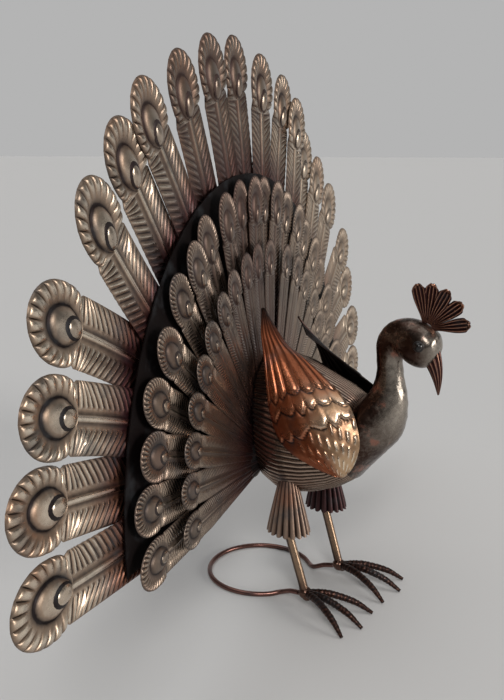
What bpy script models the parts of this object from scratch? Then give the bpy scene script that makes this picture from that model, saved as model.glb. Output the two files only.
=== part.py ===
"""Peacock figurine of stamped sheet metal, a half-circle tail fan behind a small body.

Metres, +Z up. The fan faces +X and is spread along Y. The bird is turned a little towards -Y
from the fan, and all its own pieces are laid out in a bird frame first: x forward, y to the
bird's left, z up.
"""
import math

import bmesh
import bpy
from mathutils import Matrix, Vector

# Fan
FAN_Z = 0.079
FAN_X = 0.0034
FAN_LEAN_DEG = 3.5
SHEET = 0.0010
LAYER_STEP = 0.0019
HUB_RADIUS = 0.058
HUB_THICKNESS = 0.0015
HUB_GAP = 0.0006
HUB_DROP = 0.014
BACKING_LIP = 0.0016
BACKING_THICKNESS = 0.0006
BACKING_GAP = 0.0004
BACKING_HALF_DEG = 89.0

OUTER_RADIUS = 0.2562
OUTER_HEAD_LENGTH = 0.0360
OUTER_HEAD_SIDE_GAIN = 0.0055
OUTER_HEAD_WIDTH = 0.0338
OUTER_VANE_WIDTH = 0.0288
OUTER_ROOT = 0.042
OUTER_RISE = -0.0031
OUTER_SHARES = (0.10, 0.28, 0.52, 0.78, 0.94)
OUTER_GROUPS = (
    # first angle, count, step, how far the tips pass the tier's radius, swing of the heads
    (-83.9, 1, 0.0, 0.0006, 1.0),
    (-75.35, 1, 0.0, 0.0006, -2.5),
    (-66.8, 1, 0.0, 0.0006, -6.0),
    (-58.0, 1, 0.0, 0.0040, -8.0),
    (-45.9, 1, 0.0, -0.0008, 7.0),
    (-36.5, 1, 0.0, -0.0022, 0.0),
    (-29.6, 1, 0.0, 0.0010, -8.0),
    (-18.6, 1, 0.0, -0.0020, -4.5),
    (-10.0, 2, 9.4, 0.0002, -8.5),
    (8.6, 1, 0.0, -0.0038, -5.0),
    (19.6, 1, 0.0, -0.0012, -3.0),
    (26.0, 1, 0.0, -0.0052, -14.0),
    (32.8, 2, 7.8, -0.0145, -16.0),
    (50.6, 1, 0.0, -0.0030, -15.0),
    (62.1, 1, 0.0, 0.0008, -7.0),
    (70.9, 3, 8.8, 0.0008, 0.0),
)

MIDDLE_RADIUS = 0.1742
MIDDLE_HEAD_LENGTH = 0.0290
MIDDLE_HEAD_WIDTH = 0.0240
MIDDLE_VANE_WIDTH = 0.0212
MIDDLE_ROOT = 0.040
MIDDLE_SHARES = (0.17, 0.54, 0.90)
MIDDLE_SLOPE_DEG = 0.8
MIDDLE_X = 0.0044
MIDDLE_GROUPS = (
    (-88.9, 5, 8.95, 0.0, 0.0),
    (-42.4, 3, 7.8, 0.0, 0.0),
    (-17.3, 1, 0.0, 0.0, 0.0),
    (-8.0, 4, 6.95, 0.0, 0.0),
    (21.3, 4, 7.6, 0.0, 0.0),
    (52.2, 5, 8.9, 0.0, 0.0),
)

INNER_RADIUS = 0.1363
INNER_HEAD_LENGTH = 0.0225
INNER_HEAD_WIDTH = 0.0186
INNER_VANE_WIDTH = 0.0165
INNER_ROOT = 0.012
INNER_ROOT_WIDTH = 0.004
INNER_SHARES = (0.16, 0.52, 0.90)
INNER_SHARED = 0.076
INNER_SLOPE_DEG = 1.2
INNER_X = 0.0088
INNER_GROUPS = ((-87.9, 11, 9.17, 0.0, 0.0), (18.9, 8, 9.9, 0.0, 0.0))

# Bird
BIRD_YAW_DEG = -13.7
BODY_STATIONS = (
    # x, bottom z, top z, half width
    (0.0120, 0.0705, 0.1460, 0.0300),
    (0.0270, 0.0652, 0.1490, 0.0328),
    (0.0370, 0.0650, 0.1470, 0.0335),
    (0.0520, 0.0685, 0.1410, 0.0318),
    (0.0660, 0.0740, 0.1355, 0.0280),
    (0.0765, 0.0812, 0.1300, 0.0235),
)
BODY_RIDGES = 20
BODY_RIDGE_HEIGHT = 0.0008
BODY_REAR_GAP = 0.0008
NECK_STATIONS = (
    # back x, back z, front x, front z, half width
    (0.0770, 0.1298, 0.0770, 0.0814, 0.0232),
    (0.0795, 0.1318, 0.0845, 0.0905, 0.0215),
    (0.0818, 0.1345, 0.0930, 0.1002, 0.0185),
    (0.0838, 0.1378, 0.1001, 0.1088, 0.0150),
    (0.0850, 0.1410, 0.1037, 0.1190, 0.0118),
    (0.0859, 0.1450, 0.1042, 0.1320, 0.0090),
    (0.0862, 0.1500, 0.1020, 0.1430, 0.0075),
    (0.0856, 0.1565, 0.1005, 0.1530, 0.0068),
    (0.0855, 0.1650, 0.1012, 0.1570, 0.0070),
    (0.0900, 0.1733, 0.1026, 0.1576, 0.0080),
    (0.0970, 0.1778, 0.1045, 0.1548, 0.0093),
    (0.1050, 0.1792, 0.1085, 0.1530, 0.0104),
    (0.1130, 0.1776, 0.1140, 0.1528, 0.0104),
    (0.1190, 0.1738, 0.1192, 0.1560, 0.0084),
)
NECK_POINTS = 12
HEAD_END = (0.1222, 0.1655)
BEAK_BASE = (0.1166, 0.1612)
BEAK_TIP = (0.1225, 0.1388)
BEAK_BASE_RADIUS = 0.0062
EYE_POS = (0.1160, 0.0092, 0.1672)
EYE_RADIUS = 0.0026
CREST_BASE = (0.1140, 0.1745)
CREST_LENGTH = 0.0248
CREST_ANGLES_DEG = (-15.0, 5.0, 27.0, 51.0, 78.0)
CREST_PETAL_WIDTH = 0.0072
CREST_THICKNESS = 0.0012
CREST_ROOT = 0.004
CREST_ROOT_REACH = 0.0016

WING_ROWS = (
    # front edge x, side, z, then rear edge x, side, z, from the lower end to the tip
    (0.0810, 0.0262, 0.0912, 0.0791, 0.0285, 0.0913),
    (0.0858, 0.0250, 0.0980, 0.0719, 0.0315, 0.0929),
    (0.0883, 0.0235, 0.1086, 0.0613, 0.0335, 0.0968),
    (0.0861, 0.0215, 0.1169, 0.0506, 0.0345, 0.1014),
    (0.0804, 0.0190, 0.1273, 0.0420, 0.0348, 0.1090),
    (0.0713, 0.0165, 0.1350, 0.0360, 0.0342, 0.1227),
    (0.0601, 0.0142, 0.1420, 0.0322, 0.0322, 0.1358),
    (0.0472, 0.0127, 0.1495, 0.0280, 0.0285, 0.1509),
    (0.0339, 0.0122, 0.1568, 0.0211, 0.0215, 0.1652),
    (0.0173, 0.0128, 0.1768, 0.0168, 0.0136, 0.1768),
)
WING_BULGE = 0.0050
WING_AXIS_Z = 0.105
LEFT_WING_TIP_SHARE = 0.15

SKIRT_TOP = (0.0410, 0.0220, 0.0790)
SKIRT_BOTTOM = (0.0420, 0.0225, 0.0476)
SKIRT_TOP_RADIUS = 0.0054
SKIRT_BOTTOM_RADIUS = 0.0143
SKIRT_RIBS = 10
SKIRT_TOP_PLEAT = 0.0004
SKIRT_HEM_PLEAT = 0.0011
SKIRT_HEM_DROP = 0.0014
LEG_TOP = (0.0408, 0.0221, 0.0790)
LEG_BEND = (0.0407, 0.0221, 0.0480)
HEEL = (0.0535, 0.0213, 0.0088)
LEG_RADIUS = 0.0026
HEEL_RADIUS = 0.0040
HEEL_RISE = 0.0001
TOE_RADIUS = 0.0020
TOE_ENDS = ((0.0916, 0.0072), (0.0942, 0.0256), (0.0891, 0.0405))
TOE_ARCH = 0.0008
TOE_FALL = 0.0022
RING_CENTRE_X = 0.0067
RING_RADIUS = 0.0331
RING_OPEN_DEG = 47.0
RING_WIRE = 0.0015
RING_END_GAP = 0.0010
RING_ENDS = (
    # y and z of the wire's end at the heel, then x, y, z of its two bends
    (0.0211, 0.0072),
    (0.0425, 0.0201, 0.0058),
    (0.0355, 0.0196, 0.0028),
)

CUT_GAP = 0.0004
HEAD_WAIST = 0.36
HEAD_WIDEST = 0.45
EYE_DOME = 0.0016
RIB_HEIGHT = 0.0006

SHEET_METALS = {
    "antique_brass": (0.55, 0.44, 0.30, 0.38),
    "grey_brass": (0.36, 0.32, 0.27, 0.42),
    "dark_brass": (0.20, 0.16, 0.12, 0.45),
    "hammered_bronze": (0.24, 0.18, 0.13, 0.36),
    "copper": (0.48, 0.22, 0.11, 0.34),
    "dark_copper": (0.22, 0.12, 0.09, 0.42),
    "black_glaze": (0.03, 0.03, 0.03, 0.15),
}


def clear_scene():
    """Remove every object that the file starts with."""
    for old in list(bpy.data.objects):
        bpy.data.objects.remove(old, do_unlink=True)


def metal(name):
    """Return the material of one finish, made on first use."""
    found = bpy.data.materials.get(name)
    if found:
        return found
    red, green, blue, rough = SHEET_METALS[name]
    made = bpy.data.materials.new(name)
    made.use_nodes = True
    shader = made.node_tree.nodes["Principled BSDF"]
    shader.inputs["Base Color"].default_value = (red, green, blue, 1.0)
    shader.inputs["Metallic"].default_value = 0.0 if name == "black_glaze" else 1.0
    shader.inputs["Roughness"].default_value = rough
    return made


def finish_object(name, mesh_data, material_name):
    """Weld, orient and link one bmesh as a named object with its own material."""
    bmesh.ops.remove_doubles(mesh_data, verts=mesh_data.verts[:], dist=0.00002)
    bmesh.ops.recalc_face_normals(mesh_data, faces=mesh_data.faces[:])
    mesh = bpy.data.meshes.new(name)
    mesh_data.to_mesh(mesh)
    mesh_data.free()
    made = bpy.data.objects.new(name, mesh)
    bpy.context.scene.collection.objects.link(made)
    made.data.materials.append(metal(material_name))
    return made


def skin(mesh_data, rings, close_start=True, close_end=True):
    """Join rings of points with quads and close the ends with a fan or a cap."""
    rows = []
    for ring in rings:
        rows.append([mesh_data.verts.new(point) for point in ring])
    for lower, upper in zip(rows, rows[1:]):
        count = len(lower)
        for k in range(count):
            after = (k + 1) % count
            mesh_data.faces.new((lower[k], lower[after], upper[after], upper[k]))
    if close_start:
        mesh_data.faces.new(list(reversed(rows[0])))
    if close_end:
        mesh_data.faces.new(rows[-1])
    return rows


def group_places(groups):
    """Return (angle, extra tip radius, swing) of each feather of a tier, angles in radians."""
    places = []
    for first, count, step, extra, swing in groups:
        for k in range(count):
            places.append((math.radians(first + k * step), extra, math.radians(swing)))
    return places


def swung(radius, across, root, head_start, tip, swing):
    """Return the radius and across place of a feather point after the feather's swing.

    The head turns about its own middle, and the vane bends so that its root stays in place.
    """
    share = min(1.0, (radius - root) / (head_start - root))
    pivot = (head_start + tip) / 2
    arm = radius - pivot
    turn = swing * share
    along = arm * (1.0 - (1.0 - math.cos(swing)) * share) - across * math.sin(turn)
    aside = arm * math.sin(swing) * share + across * math.cos(turn)
    return pivot + along, aside


def head_half(share):
    """Return the half width of an eye head over its width at a share of its length."""
    if share < HEAD_WIDEST:
        swell = math.sin(math.pi / 2 * share / HEAD_WIDEST)
        return HEAD_WAIST + (0.5 - HEAD_WAIST) * swell
    past = (share - HEAD_WIDEST) / (1.0 - HEAD_WIDEST)
    return 0.5 * math.sqrt(max(0.0, 1.0 - past * past))


def feather_rows(root, tip, head_length, head_width, vane_width, root_width, shares):
    """Return (radius, half width) rows of one feather from the root to the tip."""
    head_start = tip - head_length
    rows = [
        (root, root_width / 2),
        (root + 0.45 * (head_start - root), min(vane_width, 1.9 * root_width) / 2),
        (head_start - 0.42 * head_length, vane_width / 2),
        (head_start - 0.05 * head_length, vane_width * 0.49),
        (head_start, head_width * HEAD_WAIST),
    ]
    for share in shares:
        rows.append((head_start + share * head_length, head_width * head_half(share)))
    return rows


def feather_relief(radius, across, tip, head_length, dome):
    """Return the height of the stamped relief on one feather at a radius and an across share."""
    share = (radius - (tip - head_length)) / head_length
    rib = RIB_HEIGHT * (1.0 - abs(across))
    if share < 0.08 or share > 0.70:
        return rib
    return rib + dome * (1.0 - abs(across)) ** 2


def fan_matrix():
    """Return the placement of the fan's own frame in the world."""
    lean = Matrix.Rotation(math.radians(-FAN_LEAN_DEG), 4, "Y")
    return Matrix.Translation((FAN_X, 0.0, FAN_Z)) @ lean


def fan_point(radius, angle, across, depth, slope, rise=0.0):
    """Return a world point from feather coordinates on a dished tier."""
    out_y = math.sin(angle)
    out_z = math.cos(angle)
    flat = radius * math.cos(slope)
    local = Vector((
        depth + radius * math.sin(slope),
        flat * out_y + across * out_z,
        rise + flat * out_z - across * out_y,
    ))
    return fan_matrix() @ local


def make_feather(name, angle, swing, rows, tip, head_length, slope, depth, rise, dome,
                 material_name):
    """Build one stamped feather: relief in front, flat behind."""
    data = bmesh.new()
    shares = (-1.0, -0.5, 0.0, 0.5, 1.0)
    front = []
    rim_back = []
    for index, (radius, half) in enumerate(rows):
        line = []
        back_line = []
        for across in shares:
            reach = radius
            if index == len(rows) - 1:
                reach = tip - (tip - radius) * across * across
            height = feather_relief(reach, across, tip, head_length, dome)
            front_depth = depth + SHEET + height
            along, aside = swung(
                reach, across * half, rows[0][0], tip - head_length, tip, swing)
            point = fan_point(along, angle, aside, front_depth, slope, rise)
            line.append(data.verts.new(point))
            back_line.append(fan_point(along, angle, aside, depth, slope, rise))
        front.append(line)
        rim_back.append(back_line)
    for lower, upper in zip(front, front[1:]):
        for k in range(4):
            data.faces.new((lower[k], lower[k + 1], upper[k + 1], upper[k]))
    last = len(rows) - 1
    loop = [(0, k) for k in range(5)]
    loop += [(r, 4) for r in range(1, last)]
    loop += [(last, k) for k in range(4, -1, -1)]
    loop += [(r, 0) for r in range(last - 1, 0, -1)]
    back = [data.verts.new(rim_back[r][k]) for r, k in loop]
    count = len(loop)
    for k in range(count):
        after = (k + 1) % count
        row_a, col_a = loop[k]
        row_b, col_b = loop[after]
        data.faces.new((front[row_a][col_a], front[row_b][col_b], back[after], back[k]))
    data.faces.new(back)
    return finish_object(name, data, material_name)


def make_tier(prefix, groups, radius, head_length, side_gain, head_width, vane_width, root,
              slope_deg, depth, rise, shares, material_name):
    """Build one tier of separate feathers in two layers, so neighbours can overlap."""
    root_width = 2.0 * root * math.tan(math.radians(6.2))
    for number, (angle, extra, swing) in enumerate(group_places(groups), start=1):
        tip = radius + extra
        length = head_length + side_gain * (min(0.0, angle) / (math.pi / 2)) ** 2
        rows = feather_rows(root, tip, length, head_width, vane_width, root_width, shares)
        layer = depth + LAYER_STEP * (number % 2)
        make_feather(
            f"{prefix}_{number:02d}", angle, swing, rows, tip, length,
            math.radians(slope_deg), layer, rise, EYE_DOME * head_width / OUTER_HEAD_WIDTH,
            material_name,
        )


def make_inner_tier():
    """Build the inner feathers as one sheet that shares its root."""
    data = bmesh.new()
    angles = [angle for angle, extra, swing in group_places(INNER_GROUPS)]
    slope = math.radians(INNER_SLOPE_DEG)
    rows = feather_rows(
        INNER_ROOT, INNER_RADIUS, INNER_HEAD_LENGTH, INNER_HEAD_WIDTH, INNER_VANE_WIDTH,
        INNER_ROOT_WIDTH, INNER_SHARES)
    rows = [rows[0], (INNER_SHARED, INNER_VANE_WIDTH * 0.4)] + rows[2:]
    first_half = (angles[1] - angles[0]) / 2
    for index, angle in enumerate(angles):
        before = (angle - angles[index - 1]) / 2 if index else first_half
        after = (angles[index + 1] - angle) / 2 if index + 1 < len(angles) else first_half
        lines = []
        for row_number, (radius, half) in enumerate(rows):
            if radius <= INNER_SHARED:
                turns = (-before, 0.0, after)
            else:
                spread = math.atan2(half, radius)
                turns = (-min(spread, before * 0.97), 0.0, min(spread, after * 0.97))
            line = []
            for side, turn in zip((-1.0, 0.0, 1.0), turns):
                reach = radius
                if row_number == len(rows) - 1 and side == 0.0:
                    reach = INNER_RADIUS
                rise = RIB_HEIGHT
                share = (reach - INNER_RADIUS + INNER_HEAD_LENGTH) / INNER_HEAD_LENGTH
                if 0.08 <= share <= 0.7:
                    rise += EYE_DOME * 0.5
                height = SHEET + (rise if side == 0.0 else 0.0)
                line.append((
                    fan_point(reach, angle + turn, 0.0, INNER_X + height, slope),
                    fan_point(reach, angle + turn, 0.0, INNER_X, slope),
                ))
            lines.append(line)
        for low, high in zip(lines, lines[1:]):
            for k in range(2):
                for face in (0, 1):
                    corners = (low[k][face], low[k + 1][face], high[k + 1][face], high[k][face])
                    data.faces.new([data.verts.new(corner) for corner in corners])
        walls = []
        for row_number in range(len(rows) - 1):
            free = rows[row_number + 1][0] > INNER_SHARED
            if free or index == 0:
                walls.append((lines[row_number][0], lines[row_number + 1][0]))
            if free or index == len(angles) - 1:
                walls.append((lines[row_number][2], lines[row_number + 1][2]))
        for k in range(2):
            walls.append((lines[0][k], lines[0][k + 1]))
            walls.append((lines[-1][k], lines[-1][k + 1]))
        for start, end in walls:
            corners = (start[0], end[0], end[1], start[1])
            data.faces.new([data.verts.new(corner) for corner in corners])
    finish_object("feathers_inner", data, "grey_brass")


def make_hub():
    """Build the half-round plate behind the roots."""
    data = bmesh.new()
    rim = []
    steps = 14
    for k in range(steps + 1):
        rim.append((HUB_RADIUS, math.radians(-94.0 + 188.0 * k / steps)))
    rings = []
    for depth in (-HUB_GAP - HUB_THICKNESS, -HUB_GAP):
        ring = [fan_point(radius, angle, 0.0, depth, 0.0) for radius, angle in rim]
        ring.append(fan_point(HUB_DROP, math.pi, 0.0, depth, 0.0))
        rings.append(ring)
    skin(data, rings)
    finish_object("hub_plate", data, "dark_brass")


def make_backing():
    """Build the dark half-round sheet between the outer and the middle feathers."""
    data = bmesh.new()
    steps = 28
    start = LAYER_STEP + SHEET + RIB_HEIGHT + BACKING_GAP
    rings = []
    for depth in (start, start + BACKING_THICKNESS):
        ring = []
        for k in range(steps + 1):
            angle = math.radians(BACKING_HALF_DEG * (2.0 * k / steps - 1.0))
            ring.append(fan_point(MIDDLE_RADIUS + BACKING_LIP, angle, 0.0, depth, 0.0))
        rings.append(ring)
    skin(data, rings)
    finish_object("backing_sheet", data, "dark_brass")


def bird_point(x, y, z):
    """Return a world point from bird coordinates."""
    return Matrix.Rotation(math.radians(BIRD_YAW_DEG), 4, "Z") @ Vector((x, y, z))


def fan_front_x(y, z):
    """Return the bird-frame x of the fan's inner tier at a bird-frame y and z."""
    yaw = math.radians(BIRD_YAW_DEG)
    x = INNER_X
    for _ in range(6):
        world = bird_point(x, y, z)
        local = fan_matrix().inverted() @ world
        radius = math.hypot(local.y, local.z)
        target = INNER_X + SHEET + RIB_HEIGHT + radius * math.sin(math.radians(INNER_SLOPE_DEG))
        x += (target - local.x) / math.cos(yaw)
    return x


def body_rings(grow=0.0):
    """Return the ridged rings of the body, grown by a gap where asked."""
    rings = []
    points = BODY_RIDGES * 2
    for index, (x, low, high, half) in enumerate(BODY_STATIONS):
        middle = (low + high) / 2
        tall = (high - low) / 2 + grow
        wide = half + grow
        ring = []
        for k in range(points):
            angle = 2 * math.pi * k / points
            c = math.cos(angle)
            s = math.sin(angle)
            shape = (abs(c) ** 2.25 + abs(s) ** 2.25) ** (-1 / 2.25)
            ridge = BODY_RIDGE_HEIGHT if k % 2 == 0 else 0.0
            y = (wide - ridge) * shape * c
            z = middle + (tall - ridge) * shape * s
            reach = x
            if index == 0:
                reach = fan_front_x(y, z) + BODY_REAR_GAP - grow
            if index == len(BODY_STATIONS) - 1:
                reach = x + grow
            ring.append(bird_point(reach, y, z))
        rings.append(ring)
    return rings


def make_body():
    """Build the ridged egg of the body, its rear end close to the fan."""
    data = bmesh.new()
    rows = skin(data, body_rings(), close_start=False)
    middle = BODY_STATIONS[0]
    z = (middle[1] + middle[2]) / 2
    centre = data.verts.new(bird_point(fan_front_x(0.0, z) + BODY_REAR_GAP, 0.0, z))
    first = rows[0]
    for k in range(len(first)):
        data.faces.new((first[(k + 1) % len(first)], first[k], centre))
    finish_object("body", data, "dark_brass")


def neck_rings(points, grow=0.0):
    """Return the rings of the neck and head, grown by a gap where asked."""
    rings = []
    for back_x, back_z, front_x, front_z, half in NECK_STATIONS:
        middle = Vector(((back_x + front_x) / 2, 0.0, (back_z + front_z) / 2))
        arm = Vector(((back_x - front_x) / 2, 0.0, (back_z - front_z) / 2))
        arm = arm * ((arm.length + grow) / arm.length)
        ring = []
        for k in range(points):
            angle = 2 * math.pi * k / points
            spot = middle + arm * math.cos(angle)
            ring.append(bird_point(spot.x, (half + grow) * math.sin(angle), spot.z))
        rings.append(ring)
    return rings


def fill_neck(data, grow=0.0):
    """Fill a bmesh with the closed neck and head."""
    rows = skin(data, neck_rings(NECK_POINTS, grow), close_end=False)
    end = data.verts.new(bird_point(HEAD_END[0] + grow, 0.0, HEAD_END[1]))
    last = rows[-1]
    for k in range(len(last)):
        data.faces.new((last[k], last[(k + 1) % len(last)], end))


def cut_by(target, cutter):
    """Subtract the cutter from the target and remove the cutter."""
    cutter.hide_render = True
    cutter.display_type = "WIRE"
    cut = target.modifiers.new("cut", "BOOLEAN")
    cut.operation = "DIFFERENCE"
    cut.solver = "EXACT"
    cut.object = cutter
    apply_modifiers(target)
    bpy.data.objects.remove(cutter, do_unlink=True)


def apply_modifiers(target):
    """Turn the evaluated mesh of the target into its own mesh."""
    graph = bpy.context.evaluated_depsgraph_get()
    mesh = bpy.data.meshes.new_from_object(target.evaluated_get(graph))
    target.modifiers.clear()
    target.data = mesh


def join_with(target, other):
    """Unite the other solid with the target and remove the other."""
    other.hide_render = True
    other.display_type = "WIRE"
    union = target.modifiers.new("join", "BOOLEAN")
    union.operation = "UNION"
    union.solver = "EXACT"
    union.object = other
    apply_modifiers(target)
    bpy.data.objects.remove(other, do_unlink=True)


def grown_head():
    """Return a cutter that is the neck and head with a gap around them."""
    data = bmesh.new()
    fill_neck(data, CUT_GAP)
    return finish_object("head_cutter", data, "hammered_bronze")


def grown_body():
    """Return a cutter that is the body with a gap around it."""
    data = bmesh.new()
    skin(data, body_rings(CUT_GAP))
    return finish_object("body_cutter", data, "dark_brass")


def make_neck():
    """Build the smooth chest, neck and head."""
    data = bmesh.new()
    fill_neck(data)
    finish_object("neck_and_head", data, "hammered_bronze")


def make_beak():
    """Build the beak as a flattened ribbed cone seated on the head."""
    data = bmesh.new()
    base = Vector((BEAK_BASE[0], 0.0, BEAK_BASE[1]))
    tip = Vector((BEAK_TIP[0], 0.0, BEAK_TIP[1]))
    run = (tip - base).normalized()
    side = Vector((run.z, 0.0, -run.x))
    rings = []
    for share, size in ((0.0, 1.0), (0.55, 0.62), (0.97, 0.20)):
        centre = base.lerp(tip, share)
        ring = []
        for k in range(12):
            angle = 2 * math.pi * k / 12
            ridge = 1.0 if k % 2 == 0 else 0.88
            radius = BEAK_BASE_RADIUS * size * ridge
            spot = centre + side * (radius * math.cos(angle))
            ring.append(bird_point(spot.x, 0.86 * radius * math.sin(angle), spot.z))
        rings.append(ring)
    skin(data, rings)
    cut_by(finish_object("beak", data, "dark_copper"), grown_head())


def make_eyes():
    """Build one bead on each side of the head."""
    for side, name in ((-1.0, "eye_right"), (1.0, "eye_left")):
        data = bmesh.new()
        bmesh.ops.create_icosphere(data, subdivisions=1, radius=EYE_RADIUS)
        spot = bird_point(EYE_POS[0], side * EYE_POS[1], EYE_POS[2])
        bmesh.ops.translate(data, verts=data.verts[:], vec=spot)
        cut_by(finish_object(name, data, "black_glaze"), grown_head())


def make_crest():
    """Build the crest sheet with five round petals."""
    data = bmesh.new()
    outline = []
    steps = 5
    for index, degrees in enumerate(CREST_ANGLES_DEG):
        angle = math.radians(degrees)
        out = Vector((math.sin(angle), math.cos(angle)))
        across = Vector((math.cos(angle), -math.sin(angle)))
        centre = out * (CREST_LENGTH - CREST_PETAL_WIDTH / 2)
        for k in range(steps):
            turn = math.pi * (k / (steps - 1) - 0.5) * 0.92
            reach = CREST_PETAL_WIDTH / 2
            outline.append(centre + across * (reach * math.sin(turn)) + out * (reach * math.cos(turn)))
        if index + 1 < len(CREST_ANGLES_DEG):
            between = math.radians((degrees + CREST_ANGLES_DEG[index + 1]) / 2)
            valley = CREST_LENGTH * 0.78
            outline.append(Vector((math.sin(between), math.cos(between))) * valley)
    last = math.radians(CREST_ANGLES_DEG[-1])
    first = math.radians(CREST_ANGLES_DEG[0])
    low_root = Vector((0.0, -CREST_ROOT_REACH))
    rear_root = Vector((-CREST_ROOT_REACH, 0.0))
    outline.append(Vector((math.sin(last), math.cos(last))) * CREST_ROOT + low_root)
    outline.append(Vector((math.sin(first), math.cos(first))) * CREST_ROOT + rear_root)
    rings = []
    for y in (-CREST_THICKNESS / 2, CREST_THICKNESS / 2):
        ring = []
        for spot in outline:
            ring.append(bird_point(CREST_BASE[0] + spot.x, y, CREST_BASE[1] + spot.y))
        rings.append(ring)
    skin(data, rings)
    cut_by(finish_object("crest", data, "dark_copper"), grown_head())


def wing_point(row, share, side, lift, bulge):
    """Return a wing point between the two edges of a row, bulged away from the body."""
    blend = (share + 1.0) / 2
    x = row[0] + (row[3] - row[0]) * blend
    y = row[1] + (row[4] - row[1]) * blend
    z = row[2] + (row[5] - row[2]) * blend
    away = Vector((y, z - WING_AXIS_Z)).normalized()
    out = lift + bulge * (1.0 - share * share)
    return bird_point(x, side * (y + away.x * out), z + away.y * out)


def make_wing(side, name, tip_share):
    """Build one convex wing sheet, its tip cut back to a share of the last step."""
    data = bmesh.new()
    rows_in = [list(row) for row in WING_ROWS]
    rows_in[-1] = [low + (high - low) * tip_share for low, high in zip(rows_in[-2], rows_in[-1])]
    shares = (-1.0, -0.5, 0.0, 0.5, 1.0)
    rings = []
    for index, row in enumerate(rows_in):
        bulge = WING_BULGE * math.sqrt(math.sin(math.pi * index / (len(rows_in) - 1)))
        outer = [wing_point(row, share, side, SHEET, bulge) for share in shares]
        inner = [wing_point(row, share, side, 0.0, bulge) for share in reversed(shares)]
        rings.append(outer + inner)
    rows = skin(data, rings, close_start=False, close_end=False)
    for row in (rows[0], rows[-1]):
        for k in range(4):
            data.faces.new((row[k], row[k + 1], row[8 - k], row[9 - k]))
    finish_object(name, data, "copper")


def make_skirt(side, name):
    """Build one pleated thigh skirt as a thin cone open at both ends."""
    data = bmesh.new()
    points = SKIRT_RIBS * 2
    rings = []
    bottom = Vector((SKIRT_BOTTOM[0], side * SKIRT_BOTTOM[1], SKIRT_BOTTOM[2]))
    top = Vector((SKIRT_TOP[0], side * SKIRT_TOP[1], SKIRT_TOP[2]))
    layout = (
        (top, SKIRT_TOP_RADIUS, SKIRT_TOP_PLEAT, 0.0),
        (bottom, SKIRT_BOTTOM_RADIUS, SKIRT_HEM_PLEAT, SKIRT_HEM_DROP),
        (bottom, SKIRT_BOTTOM_RADIUS - SHEET * 1.3, SKIRT_HEM_PLEAT, SKIRT_HEM_DROP),
        (top, SKIRT_TOP_RADIUS - SHEET * 1.3, SKIRT_TOP_PLEAT, 0.0),
    )
    for centre, radius, pleat, hem in layout:
        ring = []
        for k in range(points):
            angle = 2 * math.pi * k / points
            out = radius + (pleat if k % 2 == 0 else -pleat)
            drop = hem if k % 2 == 0 else 0.0
            x = centre.x + out * math.cos(angle)
            y = centre.y + 0.86 * out * math.sin(angle)
            ring.append(bird_point(x, y, centre.z - drop))
        rings.append(ring)
    rows = skin(data, rings, close_start=False, close_end=False)
    outer = rows[0]
    inner = rows[-1]
    for k in range(points):
        after = (k + 1) % points
        data.faces.new((inner[k], inner[after], outer[after], outer[k]))
    cut_by(finish_object(name, data, "dark_brass"), grown_body())


def rod_rings(path, radii, points, up):
    """Return rings along a path of bird points."""
    rings = []
    for index, spot in enumerate(path):
        before = path[max(0, index - 1)]
        after = path[min(len(path) - 1, index + 1)]
        run = (after - before).normalized()
        side = run.cross(up).normalized()
        lift = side.cross(run).normalized()
        ring = []
        for k in range(points):
            angle = 2 * math.pi * (k + 0.5) / points
            offset = side * math.cos(angle) + lift * math.sin(angle)
            place = spot + offset * radii[index]
            ring.append(bird_point(place.x, place.y, place.z))
        rings.append(ring)
    return rings


def make_rod(name, path, radii, points, up, material_name):
    """Build one closed rod."""
    data = bmesh.new()
    skin(data, rod_rings(path, radii, points, up))
    return finish_object(name, data, material_name)


def make_leg(side, name):
    """Build one leg rod with its heel blob and three bent toes."""
    heel = Vector((HEEL[0], side * HEEL[1], HEEL[2]))
    bend = Vector((LEG_BEND[0], side * LEG_BEND[1], LEG_BEND[2]))
    top = Vector((LEG_TOP[0], side * LEG_TOP[1], LEG_TOP[2]))
    forward = Vector((1.0, 0.0, 0.0))
    leg = make_rod(name, [heel, bend, top], [LEG_RADIUS] * 3, 8, forward, "dark_brass")
    cut_by(leg, grown_body())
    data = bmesh.new()
    bmesh.ops.create_icosphere(data, subdivisions=1, radius=HEEL_RADIUS)
    place = bird_point(heel.x, heel.y, heel.z + HEEL_RISE)
    bmesh.ops.translate(data, verts=data.verts[:], vec=place)
    join_with(leg, finish_object(name + "_heel", data, "dark_brass"))
    for number, (end_x, end_y) in enumerate(TOE_ENDS):
        end = Vector((end_x, side * end_y, TOE_RADIUS * 0.55))
        path = []
        radii = []
        bends = ((0.0, 0.0, 1.0), (0.45, TOE_ARCH, 1.05), (0.75, -TOE_FALL, 0.95))
        for share, height, size in bends:
            flat = heel.lerp(end, share)
            path.append(Vector((flat.x, flat.y, heel.z + height)))
            radii.append(TOE_RADIUS * size)
        path.append(end)
        radii.append(TOE_RADIUS * 0.5)
        up = Vector((0.0, 0.0, 1.0))
        toe = make_rod(f"{name}_toe_{number}", path, radii, 6, up, "dark_brass")
        join_with(leg, toe)


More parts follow.
